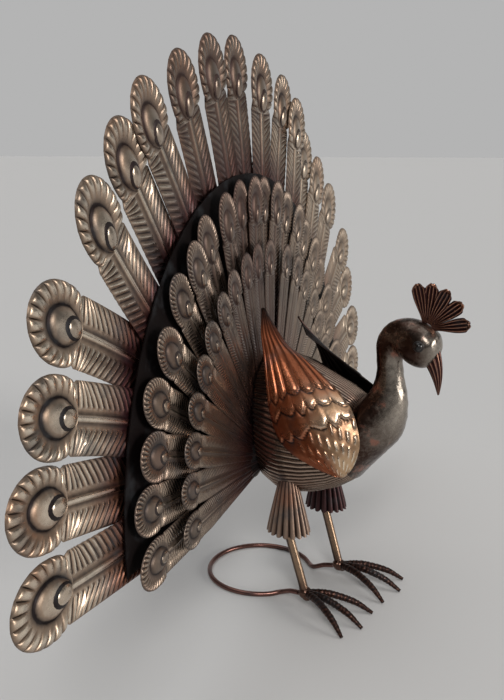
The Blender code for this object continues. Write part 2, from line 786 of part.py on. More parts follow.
def make_ring():
    """Build the ground wire: an open ring with both ends bent up to the heels."""
    path = []
    start_x = HEEL[0] - HEEL_RADIUS - RING_END_GAP
    half = [Vector((start_x, *RING_ENDS[0])), Vector(RING_ENDS[1]), Vector(RING_ENDS[2])]
    steps = 22
    span = 2 * math.pi - 2 * math.radians(RING_OPEN_DEG)
    arc = []
    for k in range(steps + 1):
        angle = math.radians(RING_OPEN_DEG) + span * k / steps
        x = RING_CENTRE_X + RING_RADIUS * math.cos(angle)
        y = RING_RADIUS * math.sin(angle)
        arc.append(Vector((x, y, RING_WIRE)))
    path += half
    path += arc
    path += [Vector((spot.x, -spot.y, spot.z)) for spot in reversed(half)]
    radii = [RING_WIRE] * len(path)
    make_rod("base_ring", path, radii, 6, Vector((0.0, 0.0, 1.0)), "dark_copper")


def settle():
    """Move everything so the box is centred in x and y and stands on z = 0."""
    low = Vector((1e9, 1e9, 1e9))
    high = -low
    for item in bpy.data.objects:
        for vertex in item.data.vertices:
            for axis in range(3):
                low[axis] = min(low[axis], vertex.co[axis])
                high[axis] = max(high[axis], vertex.co[axis])
    shift = Vector((-(low.x + high.x) / 2, -(low.y + high.y) / 2, -low.z))
    for item in bpy.data.objects:
        item.data.transform(Matrix.Translation(shift))


def main():
    """Build every piece of the figurine."""
    clear_scene()
    make_hub()
    make_backing()
    make_tier(
        "feather_outer", OUTER_GROUPS, OUTER_RADIUS, OUTER_HEAD_LENGTH, OUTER_HEAD_SIDE_GAIN,
        OUTER_HEAD_WIDTH, OUTER_VANE_WIDTH, OUTER_ROOT, 0.0, 0.0, OUTER_RISE, OUTER_SHARES,
        "antique_brass")
    make_tier(
        "feather_middle", MIDDLE_GROUPS, MIDDLE_RADIUS, MIDDLE_HEAD_LENGTH, 0.0,
        MIDDLE_HEAD_WIDTH, MIDDLE_VANE_WIDTH, MIDDLE_ROOT, MIDDLE_SLOPE_DEG, MIDDLE_X,
        0.0, MIDDLE_SHARES, "grey_brass")
    make_inner_tier()
    make_body()
    make_neck()
    make_beak()
    make_eyes()
    make_crest()
    make_wing(-1.0, "wing_right", 1.0)
    make_wing(1.0, "wing_left", LEFT_WING_TIP_SHARE)
    make_skirt(-1.0, "skirt_right")
    make_skirt(1.0, "skirt_left")
    make_leg(-1.0, "leg_right")
    make_leg(1.0, "leg_left")
    make_ring()
    settle()


main()
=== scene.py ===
"""Peacock figurine of stamped brass and copper sheet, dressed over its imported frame.

The tail fan faces +X and spreads along Y. The bird is turned a little towards -Y, so its own
pieces are laid out in a bird frame first: x forward, y to the bird's left, z up.
"""
import logging
import math
from dataclasses import dataclass
from enum import Enum
from typing import Any, Callable, NamedTuple, Optional, Sequence, Union

import bpy
import numpy as np
from mathutils import Matrix


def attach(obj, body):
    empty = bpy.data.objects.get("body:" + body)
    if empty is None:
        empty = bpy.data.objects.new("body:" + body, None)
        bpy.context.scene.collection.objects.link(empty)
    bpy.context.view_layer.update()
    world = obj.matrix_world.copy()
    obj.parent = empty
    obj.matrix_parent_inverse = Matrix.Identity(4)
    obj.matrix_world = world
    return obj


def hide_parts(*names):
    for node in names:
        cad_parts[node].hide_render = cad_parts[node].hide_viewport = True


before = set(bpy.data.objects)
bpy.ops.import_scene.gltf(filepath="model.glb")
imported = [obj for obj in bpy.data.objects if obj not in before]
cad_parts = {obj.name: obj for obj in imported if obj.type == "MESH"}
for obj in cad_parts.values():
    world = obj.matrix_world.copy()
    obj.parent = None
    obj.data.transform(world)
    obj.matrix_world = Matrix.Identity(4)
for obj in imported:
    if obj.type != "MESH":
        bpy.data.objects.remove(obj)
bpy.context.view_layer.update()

LOG = logging.getLogger("peacock")

Colour = tuple[float, float, float]
Array = np.ndarray

# All lengths are in metres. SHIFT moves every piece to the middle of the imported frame.
SHIFT = np.array([-0.053295, -0.000803, 0.0])
FAN_X = 0.0034
FAN_Z = 0.079
FAN_LEAN = math.radians(3.5)
BIRD_YAW = math.radians(-13.7)
SHEET = 0.0007
TURN = 2 * math.pi


class Slot(Enum):
    """The record's material slots."""

    ANTIQUE_BRASS = "antique_brass"
    GREY_BRASS = "grey_brass"
    DARK_BRASS = "dark_brass"
    HAMMERED_BRONZE = "hammered_bronze"
    COPPER = "copper"
    DARK_COPPER = "dark_copper"
    BLACK_GLAZE = "black_glaze"


class Side(Enum):
    """The bird's two sides, as the sign of y in the bird frame."""

    RIGHT = -1.0
    LEFT = 1.0


def smooth_step(low: float, high: float, value: Array) -> Array:
    """Ease from 0 to 1 between two values.

    Args:
        low: Value at which the result is 0.
        high: Value at which the result is 1.
        value: Numbers to ease.

    Returns:
        The eased numbers.
    """
    share = np.clip((value - low) / (high - low), 0.0, 1.0)
    return share * share * (3.0 - 2.0 * share)


def bell(value: Union[Array, float], middle: Union[Array, float], width: float) -> Array:
    """Return 1 at the middle, falling off on both sides as a bell curve does."""
    return np.exp(-((value - middle) / width) ** 2)


def fan_points(radius: Array, angle: float, across: Array, depth: Array, slope: float,
               rise: float) -> Array:
    """Place points of a feather on the leaning, dished fan.

    Args:
        radius: Distance from the hub along the feather.
        angle: Feather's turn from straight up, in radians, positive towards +Y.
        across: Distance across the feather.
        depth: Distance in front of the fan's plane.
        slope: How far the tier is dished forward, in radians.
        rise: How far the tier's hub sits above the fan's own.

    Returns:
        World points, one row each.
    """
    flat = radius * math.cos(slope)
    x = depth + radius * math.sin(slope)
    y = flat * math.sin(angle) + across * math.cos(angle)
    z = rise + flat * math.cos(angle) - across * math.sin(angle)
    turned_x = FAN_X + x * math.cos(FAN_LEAN) - z * math.sin(FAN_LEAN)
    turned_z = FAN_Z + x * math.sin(FAN_LEAN) + z * math.cos(FAN_LEAN)
    return np.stack([turned_x, y, turned_z], axis=1) + SHIFT


def bird_points(x: Array, y: Array, z: Array) -> Array:
    """Turn points of the bird frame into world points.

    Args:
        x: Forward distances.
        y: Distances to the bird's left.
        z: Heights.

    Returns:
        World points, one row each.
    """
    x, y, z = np.broadcast_arrays(x, y, z)
    cosine = math.cos(BIRD_YAW)
    sine = math.sin(BIRD_YAW)
    return np.stack([x * cosine - y * sine, x * sine + y * cosine, z], axis=1) + SHIFT


def bird_point(x: float, y: float, z: float) -> Array:
    """Turn one point of the bird frame into a world point."""
    return bird_points(np.array([x]), np.array([y]), np.array([z]))[0]


def bird_way(x: float, y: float, z: float) -> Array:
    """Turn a direction of the bird frame into a world direction."""
    return bird_point(x, y, z) - SHIFT


def line_number(share: Array, count: int) -> Array:
    """Return the number of the grid line at each share of the way."""
    return np.round(share * count).astype(int)


def through(rows: Sequence[Sequence[float]], at: Array) -> Array:
    """Run a smooth curve through rows of numbers.

    Args:
        rows: Values at evenly spaced stations.
        at: Shares from 0, the first row, to 1, the last.

    Returns:
        One row of values for each share.
    """
    table = np.asarray(rows, float)
    table = np.vstack([2 * table[0] - table[1], table, 2 * table[-1] - table[-2]])
    place = np.clip(at, 0.0, 1.0) * (len(rows) - 1)
    index = np.minimum(place.astype(int), len(rows) - 2)
    part = (place - index)[:, None]
    before, start, end, after = (table[index + k] for k in range(4))
    bend = 2 * before - 5 * start + 4 * end - after
    twist = -before + 3 * start - 3 * end + after
    return 0.5 * (2 * start + (end - before) * part + bend * part**2 + twist * part**3)


@dataclass(frozen=True)
class Surface:
    """Points of a grid laid on a surface, with what its finish reads."""

    points: Array
    relief: Array
    reach: Array


class Workshop:
    """Adds primitives, lays them on surfaces and finishes the figurine's pieces."""

    def __init__(self) -> None:
        """Start with no piece made."""
        self.made: list[str] = []

    def clear_selection(self) -> None:
        """Leave edit mode and deselect all."""
        if bpy.context.object and bpy.context.object.mode != "OBJECT":
            bpy.ops.object.mode_set(mode="OBJECT")
        bpy.ops.object.select_all(action="DESELECT")

    def pick(self, *pieces: bpy.types.Object) -> None:
        """Select only these pieces and make the first one active.

        Args:
            pieces: What to select.
        """
        self.clear_selection()
        for piece in pieces:
            piece.select_set(True)
        bpy.context.view_layer.objects.active = pieces[0]

    def grid(self, columns: int, rows: int,
             lay: Callable[[Array, Array], Surface]) -> bpy.types.Object:
        """Add a grid primitive and lay its rows and columns on a surface.

        Args:
            columns: Number of faces along u.
            rows: Number of faces along v.
            lay: Gives the surface for arrays of u and v from 0 to 1.

        Returns:
            The laid sheet.
        """
        self.clear_selection()
        bpy.ops.mesh.primitive_grid_add(x_subdivisions=columns, y_subdivisions=rows, size=1.0)
        sheet = bpy.context.active_object
        flat = self.coordinates(sheet)
        u = np.round((flat[:, 0] + 0.5) * columns) / columns
        v = np.round((flat[:, 1] + 0.5) * rows) / rows
        surface = lay(u, v)
        self.set_coordinates(sheet, surface.points)
        self.set_attribute(sheet, "relief", surface.relief)
        self.set_attribute(sheet, "reach", surface.reach)
        return sheet

    def coordinates(self, piece: bpy.types.Object) -> Array:
        """Return the piece's mesh points.

        Args:
            piece: The piece.

        Returns:
            One row for each point.
        """
        flat = np.empty(len(piece.data.vertices) * 3)
        piece.data.vertices.foreach_get("co", flat)
        return flat.reshape(-1, 3)

    def set_coordinates(self, piece: bpy.types.Object, points: Array) -> None:
        """Move the piece's mesh points."""
        piece.data.vertices.foreach_set("co", np.asarray(points, float).ravel())
        piece.data.update()

    def of_faces(self, piece: bpy.types.Object, name: str, size: int) -> Array:
        """Return a property of the piece's faces.

        Args:
            piece: The piece.
            name: The property's name.
            size: How many numbers it has.

        Returns:
            One row for each face.
        """
        values = np.empty(len(piece.data.polygons) * size)
        piece.data.polygons.foreach_get(name, values)
        return values.reshape(-1, size)

    def set_attribute(self, piece: bpy.types.Object, name: str,
                      values: Union[Array, float]) -> None:
        """Store a number for each mesh point.

        Args:
            piece: The piece.
            name: What the finishes read it as.
            values: One number for each point, or one for all.
        """
        found = piece.data.attributes.get(name)
        if found is None:
            found = piece.data.attributes.new(name, "FLOAT", "POINT")
        count = len(piece.data.vertices)
        found.data.foreach_set("value", np.broadcast_to(values, count).astype(np.float32))

    def dab(self, centre: Sequence[float], size: Sequence[float], relief: float, reach: float,
            segments: int = 16, rings: int = 10) -> bpy.types.Object:
        """Add a rounded dab of metal.

        Args:
            centre: Where it sits.
            size: Its half sizes along x, y and z.
            relief: Relief number for its finish.
            reach: Reach number for its finish.
            segments: Faces round it.
            rings: Faces from pole to pole.

        Returns:
            The dab, with its place in its mesh.
        """
        self.clear_selection()
        bpy.ops.mesh.primitive_uv_sphere_add(
            segments=segments, ring_count=rings, radius=1.0, location=tuple(centre),
            scale=tuple(size))
        made = bpy.context.active_object
        bpy.ops.object.transform_apply(location=True, rotation=True, scale=True)
        self.set_attribute(made, "relief", relief)
        self.set_attribute(made, "reach", reach)
        return made

    def work(self, piece: bpy.types.Object, operator: Callable[..., Any],
             **settings: Any) -> None:
        """Run a mesh operator on the whole of a piece.

        Args:
            piece: The piece.
            operator: The operator.
            settings: The operator's settings.
        """
        self.pick(piece)
        bpy.ops.object.mode_set(mode="EDIT")
        bpy.ops.mesh.select_all(action="SELECT")
        operator(**settings)
        bpy.ops.object.mode_set(mode="OBJECT")

    def weld(self, piece: bpy.types.Object, distance: float) -> None:
        """Merge the piece's points that are closer than a distance, as at a seam or a pole."""
        self.work(piece, bpy.ops.mesh.remove_doubles, threshold=distance)

    def shell(self, columns: int, rows: int, lay: Callable[[Array, Array], Surface],
              distance: float = 0.00001) -> bpy.types.Object:
        """Add a closed shell, welded at its seam and poles and facing outwards.

        Args:
            columns: Number of faces round it.
            rows: Number of faces from pole to pole.
            lay: Gives the surface for arrays of u and v from 0 to 1.
            distance: Points closer than this are merged.

        Returns:
            The shell.
        """
        made = self.grid(columns, rows, lay)
        self.weld(made, distance)
        self.work(made, bpy.ops.mesh.normals_make_consistent, inside=False)
        return made

    def face(self, piece: bpy.types.Object, way: Array) -> None:
        """Turn an open sheet over where its faces look away from a direction.

        Args:
            piece: The sheet.
            way: The direction, or one direction for each face.
        """
        looks = (self.of_faces(piece, "normal", 3) * way).sum(axis=1)
        if (looks * self.of_faces(piece, "area", 1)[:, 0]).sum() < 0:
            self.work(piece, bpy.ops.mesh.flip_normals)

    def thicken(self, piece: bpy.types.Object, thickness: float, lined: bool = False) -> None:
        """Give a sheet its thickness, behind its face.

        Args:
            piece: The sheet.
            thickness: How thick it gets.
            lined: Whether its far side gets a finish of its own.
        """
        if lined:
            piece.data.materials.append(None)
            piece.data.materials.append(None)
        wall = piece.modifiers.new("wall", "SOLIDIFY")
        wall.material_offset = 1 if lined else 0
        wall.thickness = thickness
        wall.offset = -1.0
        wall.use_even_offset = False
        self.pick(piece)
        bpy.ops.object.modifier_apply(modifier=wall.name)

    def join(self, pieces: Sequence[bpy.types.Object]) -> bpy.types.Object:
        """Join pieces into the first one.

        Args:
            pieces: What to join.

        Returns:
            The first piece, with all the others in it.
        """
        self.pick(*pieces)
        if len(pieces) > 1:
            bpy.ops.object.join()
        return pieces[0]

    def copy(self, piece: bpy.types.Object) -> bpy.types.Object:
        """Copy a piece together with its mesh.

        Args:
            piece: What to copy.

        Returns:
            The copy.
        """
        twin = piece.copy()
        twin.data = piece.data.copy()
        bpy.context.scene.collection.objects.link(twin)
        return twin

    def drop(self, piece: bpy.types.Object) -> None:
        """Delete a pattern piece."""
        bpy.data.objects.remove(piece, do_unlink=True)

    def finish(self, piece: bpy.types.Object, name: str, finish: bpy.types.Material, slot: Slot,
               nodes: Sequence[str], angle_deg: float = 60.0,
               lining: Optional[bpy.types.Material] = None) -> bpy.types.Object:
        """Name, smooth and dress a piece and hide the solids that it stands for.

        Args:
            piece: The shaped piece.
            name: Its name.
            finish: Its material.
            slot: The record's slot that the finish belongs to; not used.
            nodes: Solids that it stands for.
            angle_deg: Edges sharper than this stay sharp.
            lining: The far side's own material, on a sheet that was thickened lined.

        Returns:
            The finished piece.
        """
        piece.name = name
        piece.data.name = name
        if lining:
            piece.data.materials[0] = finish
            piece.data.materials[1] = lining
        else:
            piece.data.materials.clear()
            piece.data.materials.append(finish)
        self.pick(piece)
        bpy.ops.object.shade_smooth_by_angle(angle=math.radians(angle_deg))
        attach(piece, "root")
        if nodes:
            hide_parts(*nodes)
        self.made.append(name)
        LOG.info("%s: %d faces", name, len(piece.data.polygons))
        return piece


class Wire:
    """A shader socket that takes part in arithmetic."""

    def __init__(self, bench: "Bench", socket_and_shadow: bpy.types.NodeSocket) -> None:
        """Wrap an output socket of a bench's material."""
        self.bench = bench
        self.socket_and_shadow = socket_and_shadow

    def _math(self, operation: str, first: "Number", second: "Number",
              clamp: bool = False) -> "Wire":
        """Add one Math node.

        Args:
            operation: What it does.
            first: Its first value.
            second: Its second value.
            clamp: Whether the result is kept from 0 to 1.

        Returns:
            The result.
        """
        node = self.bench.node(
            "ShaderNodeMath", {"operation": operation, "use_clamp": clamp},
            {0: first, 1: second})
        return Wire(self.bench, node.outputs[0])

    def __add__(self, other: "Number") -> "Wire":
        """Add."""
        return self._math("ADD", self, other)

    def __radd__(self, other: "Number") -> "Wire":
        """Add, reflected."""
        return self._math("ADD", other, self)

    def __sub__(self, other: "Number") -> "Wire":
        """Subtract."""
        return self._math("SUBTRACT", self, other)

    def __rsub__(self, other: "Number") -> "Wire":
        """Subtract, reflected."""
        return self._math("SUBTRACT", other, self)

    def __mul__(self, other: "Number") -> "Wire":
        """Multiply."""
        return self._math("MULTIPLY", self, other)

    def __rmul__(self, other: "Number") -> "Wire":
        """Multiply, reflected."""
        return self._math("MULTIPLY", other, self)

    def between(self, low: float, high: float) -> "Wire":
        """Return 0 below low, 1 above high and a straight ramp between."""
        return ((self - low) * (1.0 / (high - low))).clamped()

    def clamped(self) -> "Wire":
        """Keep the value from 0 to 1."""
        return self._math("MULTIPLY", self, 1.0, clamp=True)


Number = Union[float, Wire]


class Bench:
    """Builds the nodes of one material or of the room."""

    def __init__(self, holder: Union[bpy.types.Material, bpy.types.World]) -> None:
        """Clear the holder's nodes.

        Args:
            holder: The material or the world.
        """
        holder.use_nodes = True
        holder.node_tree.nodes.clear()
        self.holder = holder
        self.tree = holder.node_tree

    def node(self, kind: str, settings: Optional[dict[str, Any]] = None,
             inputs: Optional[dict[Any, Any]] = None) -> bpy.types.Node:
        """Add a node.

        Args:
            kind: Node type.
            settings: Its properties, set before its sockets.
            inputs: Values or wires by socket name or number.

        Returns:
            The node.
        """
        made = self.tree.nodes.new(kind)
        for key, value in (settings or {}).items():
            setattr(made, key, value)
        for key, value in (inputs or {}).items():
            if isinstance(value, Wire):
                self.tree.links.new(value.socket_and_shadow, made.inputs[key])
            else:
                made.inputs[key].default_value = value
        return made

    def read(self, name: str) -> Wire:
        """Return a number stored on the mesh."""
        node = self.node("ShaderNodeAttribute", {"attribute_name": name})
        return Wire(self, node.outputs["Fac"])

    def place(self) -> Wire:
        """Return the Object coordinates."""
        return Wire(self, self.node("ShaderNodeTexCoord").outputs["Object"])

    def noise(self, scale: float, detail: float = 2.0, rough: float = 0.5) -> Wire:
        """Return cloudy noise over the object's own place.

        Args:
            scale: How fine it is.
            detail: How many finer layers it has.
            rough: How strong they are.

        Returns:
            The noise, from 0 to 1.
        """
        node = self.node("ShaderNodeTexNoise", {}, {
            "Vector": self.place(), "Scale": scale, "Detail": detail, "Roughness": rough})
        return Wire(self, node.outputs["Fac"])

    def dents(self, scale: float) -> Wire:
        """Return the distance to scattered points, as hammer dents have.

        Args:
            scale: How close the points are.

        Returns:
            The distance.
        """
        node = self.node("ShaderNodeTexVoronoi", {"feature": "SMOOTH_F1"}, {
            "Vector": self.place(), "Scale": scale, "Smoothness": 0.6})
        return Wire(self, node.outputs["Distance"])

    def blend(self, share: Number, first: Union[Colour, Wire],
              second: Union[Colour, Wire]) -> Wire:
        """Mix two colours.

        Args:
            share: How much of the second shows.
            first: The first colour.
            second: The second colour.

        Returns:
            The mixed colour.
        """
        def full(value: Union[Colour, Wire]) -> Any:
            """Return a colour as a shader socket takes it."""
            return value if isinstance(value, Wire) else (*value, 1.0)

        node = self.node(
            "ShaderNodeMix", {"data_type": "RGBA", "clamp_factor": True},
            {0: share, 6: full(first), 7: full(second)})
        return Wire(self, node.outputs[2])

    def bump(self, height: Number, distance: float, strength: float,
             under: Optional[Wire] = None) -> Wire:
        """Return a bumped normal.

        Args:
            height: Height of the surface.
            distance: How far full height stands out, in metres.
            strength: How much of it shows.
            under: The normal that it is laid over.

        Returns:
            The normal.
        """
        inputs: dict[Any, Any] = {"Height": height, "Distance": distance, "Strength": strength}
        if under is not None:
            inputs["Normal"] = under
        return Wire(self, self.node("ShaderNodeBump", {}, inputs).outputs[0])

    def close(self, **inputs: Any) -> bpy.types.Material:
        """Add the surface shader and the output.

        Args:
            inputs: The shader's inputs, with underscores for spaces.

        Returns:
            The material.
        """
        shader = self.node(
            "ShaderNodeBsdfPrincipled", {},
            {key.replace("_", " "): value for key, value in inputs.items()})
        self.node("ShaderNodeOutputMaterial", {}, {
            "Surface": Wire(self, shader.outputs[0])})
        return self.holder


class Tones(NamedTuple):
    """Colours of a patinated sheet from its recesses to its worn ridges."""

    recess: Colour
    middle: Colour
    ridge: Colour


@dataclass(frozen=True)
class PatinatedSheet:
    """Stamped sheet metal, dark in its recesses and worn bright on its ridges."""

    name: str
    near: Tones
    far: Tones
    span: tuple[float, float]
    tint: Colour
    tint_share: float = 0.35
    rough_ridge: float = 0.20
    rough_recess: float = 0.50
    cloud_scale: float = 42.0
    cloud_weight: float = 0.30
    grain: float = 0.20
    smoke: Colour = (0.055, 0.060, 0.066)
    smoke_share: float = 0.55
    # Painted light: a pale wash for the feathers towards +Y, and painted shade for those near the
    # top.
    painted_wash: Colour = (0.30, 0.24, 0.19)
    painted_top_shade: Colour = (0.085, 0.048, 0.040)
    painted_wash_share: float = 0.0
    painted_top_shade_share: float = 0.70
    speck_scale: float = 420.0
    stain_scale: float = 27.0
    smoke_scale: float = 64.0

    def make(self) -> bpy.types.Material:
        """Build the material.

        Returns:
            The material.
        """
        bench = Bench(bpy.data.materials.new(self.name))
        clouds = bench.noise(self.cloud_scale, 4.0, 0.6)
        specks = bench.noise(self.speck_scale, 2.0, 0.6)
        height = bench.read("relief") + (clouds - 0.5) * self.cloud_weight
        height = height + (specks - 0.5) * 0.20
        along = (bench.read("reach") + (clouds - 0.5) * 0.10 * (
            self.span[1] - self.span[0])).between(*self.span)
        recess, middle, ridge = (
            bench.blend(along, near, far) for near, far in zip(self.near, self.far))
        colour = bench.blend(height.between(0.08, 0.55), recess, middle)
        colour = bench.blend(height.between(0.55, 0.98), colour, ridge)
        stain = bench.noise(self.stain_scale, 3.0, 0.55).between(0.52, 0.66) * self.tint_share
        colour = bench.blend(stain * height.between(0.1, 0.5), colour, self.tint)
        smoke = bench.noise(self.smoke_scale, 3.0, 0.6).between(0.52, 0.70) * self.smoke_share
        colour = bench.blend(smoke, colour, self.smoke)
        wear = height.between(0.1, 0.9)
        rough = self.rough_recess + wear * (self.rough_ridge - self.rough_recess)
        rough = rough + (specks - 0.5) * 0.12
        # Painted light: the pale number washes the feathers towards +Y out, the other darkens
        # those near the top as painted shade.
        if self.painted_wash_share:
            pale, painted_top_shade = bench.read("pale"), bench.read("painted_top_shade")
            colour = bench.blend(pale * self.painted_wash_share, colour, self.painted_wash)
            colour = bench.blend(painted_top_shade * self.painted_top_shade_share, colour, self.painted_top_shade)
            rough = rough + pale * 0.22 + painted_top_shade * 0.08
        normal = bench.bump(specks, 0.0004, self.grain)
        return bench.close(
            Base_Color=colour, Roughness=rough, Metallic=wear * 0.3 + 0.7, Normal=normal)


@dataclass(frozen=True)
class HammeredMetal:
    """Dark bronze with fine pits and small worn copper patches."""

    name: str
    deep: Colour
    wear_and_painted_sheen: Colour
    patch: Colour

    def make(self) -> bpy.types.Material:
        """Build the material.

        Returns:
            The material.
        """
        bench = Bench(bpy.data.materials.new(self.name))
        dents = bench.dents(190.0)
        clouds = bench.noise(60.0, 5.0, 0.65)
        specks = bench.noise(520.0, 3.0, 0.65)
        # The relief number pushes the throat's front and the forehead to the paler colour: painted
        # highlight, partly wear.
        front = bench.read("relief")
        share = (clouds - 0.5) * 0.9 + 0.5 + (specks - 0.5) * 0.4 + (front - 0.5) * 0.45
        colour = bench.blend(share.between(0.22, 0.86), self.deep, self.wear_and_painted_sheen)
        patches = (bench.noise(120.0, 3.0, 0.6) - front * 0.12).between(0.54, 0.66)
        colour = bench.blend(patches * 0.65, colour, self.patch)
        rough = 0.17 + clouds * 0.18 + (specks - 0.5) * 0.16
        normal = bench.bump(dents, 0.0010, 0.22)
        normal = bench.bump(specks, 0.0003, 0.25, normal)
        return bench.close(Base_Color=colour, Roughness=rough, Metallic=1.0, Normal=normal)


@dataclass(frozen=True)
class Glaze:
    """Glossy near-black bead."""

    name: str
    colour: Colour
    cloud: Colour = (0.016, 0.009, 0.008)

    def make(self) -> bpy.types.Material:
        """Build the material.

        Returns:
            The material.
        """
        bench = Bench(bpy.data.materials.new(self.name))
        clouds = bench.noise(300.0, 2.0)
        colour = bench.blend(clouds.between(0.4, 0.7), self.colour, self.cloud)
        rough = 0.50 - bench.read("relief") * 0.42 + clouds * 0.05
        return bench.close(Base_Color=colour, Roughness=rough, Metallic=0.0)


def even_sheet(name: str, tones: Tones, tint: Colour, **settings: float) -> bpy.types.Material:
    """Make a patinated sheet whose tones are the same all over.

    Args:
        name: The material's name.
        tones: Its colours.
        tint: Colour of its stains.
        settings: Other fields of the sheet.

    Returns:
        The material.
    """
    return PatinatedSheet(name, tones, tones, (0.0, 1.0), tint, **settings).make()


class Finishes:
    """The figurine's materials, one for each kind of metal."""

    def __init__(self) -> None:
        """Make every material."""
        # Towards the hub the feathers turn dark wine: partly patina, partly painted shade where
        # the tiers overlap.
        hub_patina_and_shade = Tones((0.008, 0.003, 0.004), (0.075, 0.022, 0.026), (0.30, 0.13, 0.11))
        self.outer = PatinatedSheet(
            "brass_outer", near=hub_patina_and_shade,
            far=Tones((0.014, 0.008, 0.008), (0.41, 0.305, 0.225), (0.98, 0.86, 0.70)),
            span=(0.182, 0.206), tint=(0.34, 0.16, 0.085), tint_share=0.5,
            painted_wash_share=0.55).make()
        self.middle = PatinatedSheet(
            "brass_middle", near=hub_patina_and_shade,
            far=Tones((0.026, 0.018, 0.018), (0.23, 0.170, 0.130), (0.66, 0.53, 0.41)),
            span=(0.085, 0.125), tint=(0.17, 0.085, 0.065), painted_wash_share=0.45).make()
        self.inner = PatinatedSheet(
            "brass_inner", near=hub_patina_and_shade,
            far=Tones((0.022, 0.015, 0.015), (0.19, 0.145, 0.115), (0.58, 0.47, 0.37)),
            span=(0.050, 0.100), tint=(0.15, 0.08, 0.065), painted_wash_share=0.40).make()
        # Near-black painted shade, for the sheet between the tiers and for the wings' far sides.
        self.painted_shade_black = even_sheet(
            "painted_shade_sheet",
            Tones((0.003, 0.002, 0.002), (0.010, 0.006, 0.006), (0.020, 0.012, 0.011)),
            (0.012, 0.006, 0.006), rough_ridge=0.60, rough_recess=0.75)
        self.body = even_sheet(
            "ribbed_brass",
            Tones((0.010, 0.006, 0.006), (0.110, 0.074, 0.056), (0.42, 0.31, 0.24)),
            (0.14, 0.05, 0.03))
        self.skirt = even_sheet(
            "pleated_brass",
            Tones((0.012, 0.007, 0.006), (0.105, 0.066, 0.050), (0.33, 0.235, 0.18)),
            (0.30, 0.10, 0.05), rough_ridge=0.42, rough_recess=0.60)
        # A darker copy of the pleated finish for the left skirt: painted shade.
        self.shaded = even_sheet(
            "pleated_shaded",
            Tones((0.004, 0.002, 0.002), (0.030, 0.011, 0.013), (0.075, 0.040, 0.040)),
            (0.04, 0.010, 0.014), rough_ridge=0.45, rough_recess=0.60)
        leg = Tones((0.012, 0.006, 0.005), (0.15, 0.088, 0.058), (0.46, 0.33, 0.22))
        toe = Tones((0.010, 0.005, 0.004), (0.065, 0.032, 0.026), (0.22, 0.13, 0.095))
        self.leg = PatinatedSheet(
            "rod_brass", near=toe, far=leg, span=(0.010, 0.020), tint=(0.16, 0.06, 0.035)).make()
        self.wing = PatinatedSheet(
            "wing_copper",
            near=Tones((0.010, 0.004, 0.003), (0.25, 0.072, 0.030), (0.46, 0.19, 0.105)),
            far=Tones((0.014, 0.008, 0.007), (0.60, 0.40, 0.24), (1.0, 0.88, 0.70)),
            span=(0.0, 1.0), tint=(0.24, 0.065, 0.035), tint_share=0.5, rough_ridge=0.22,
            rough_recess=0.40, cloud_weight=0.34).make()
        self.crest = even_sheet(
            "crest_copper",
            Tones((0.008, 0.003, 0.003), (0.060, 0.018, 0.016), (0.58, 0.33, 0.23)),
            (0.06, 0.03, 0.022), cloud_weight=0.2)
        self.ring = even_sheet(
            "wire_bronze",
            Tones((0.010, 0.004, 0.004), (0.105, 0.040, 0.036), (0.30, 0.165, 0.135)),
            (0.09, 0.04, 0.03))
        self.neck = HammeredMetal(
            "hammered_bronze", deep=(0.052, 0.029, 0.022), wear_and_painted_sheen=(0.38, 0.335, 0.285),
            patch=(0.36, 0.145, 0.10)).make()
        self.glaze = Glaze("eye_glaze", (0.004, 0.003, 0.003)).make()


@dataclass(frozen=True)
class Lobe:
    """Section of one stamped lobe: shares of its pitch and the heights there."""

    shares: tuple[float, ...]
    heights: tuple[float, ...]

    def at(self, line: Array) -> tuple[Array, Array]:
        """Find where grid lines lie on a row of lobes, and how high they stand.

        Args:
            line: Numbers of the lines.

        Returns:
            Places, counted in lobes, and heights from 0 to 1.
        """
        lobe, step = np.divmod(line, len(self.shares))
        return lobe + np.array(self.shares)[step], np.array(self.heights)[step]


BARB = Lobe((0.0, 0.26, 0.52, 0.78), (0.0, 0.55, 1.0, 0.50))
FINE_BARB = Lobe((0.0, 0.33, 0.70), (0.0, 0.95, 0.80))
FLUTE = Lobe((0.0, 0.09, 0.26, 0.50, 0.74, 0.91), (0.0, 0.62, 0.93, 1.0, 0.93, 0.62))
FINE_FLUTE = Lobe((0.0, 0.32, 0.68), (0.0, 0.95, 0.95))


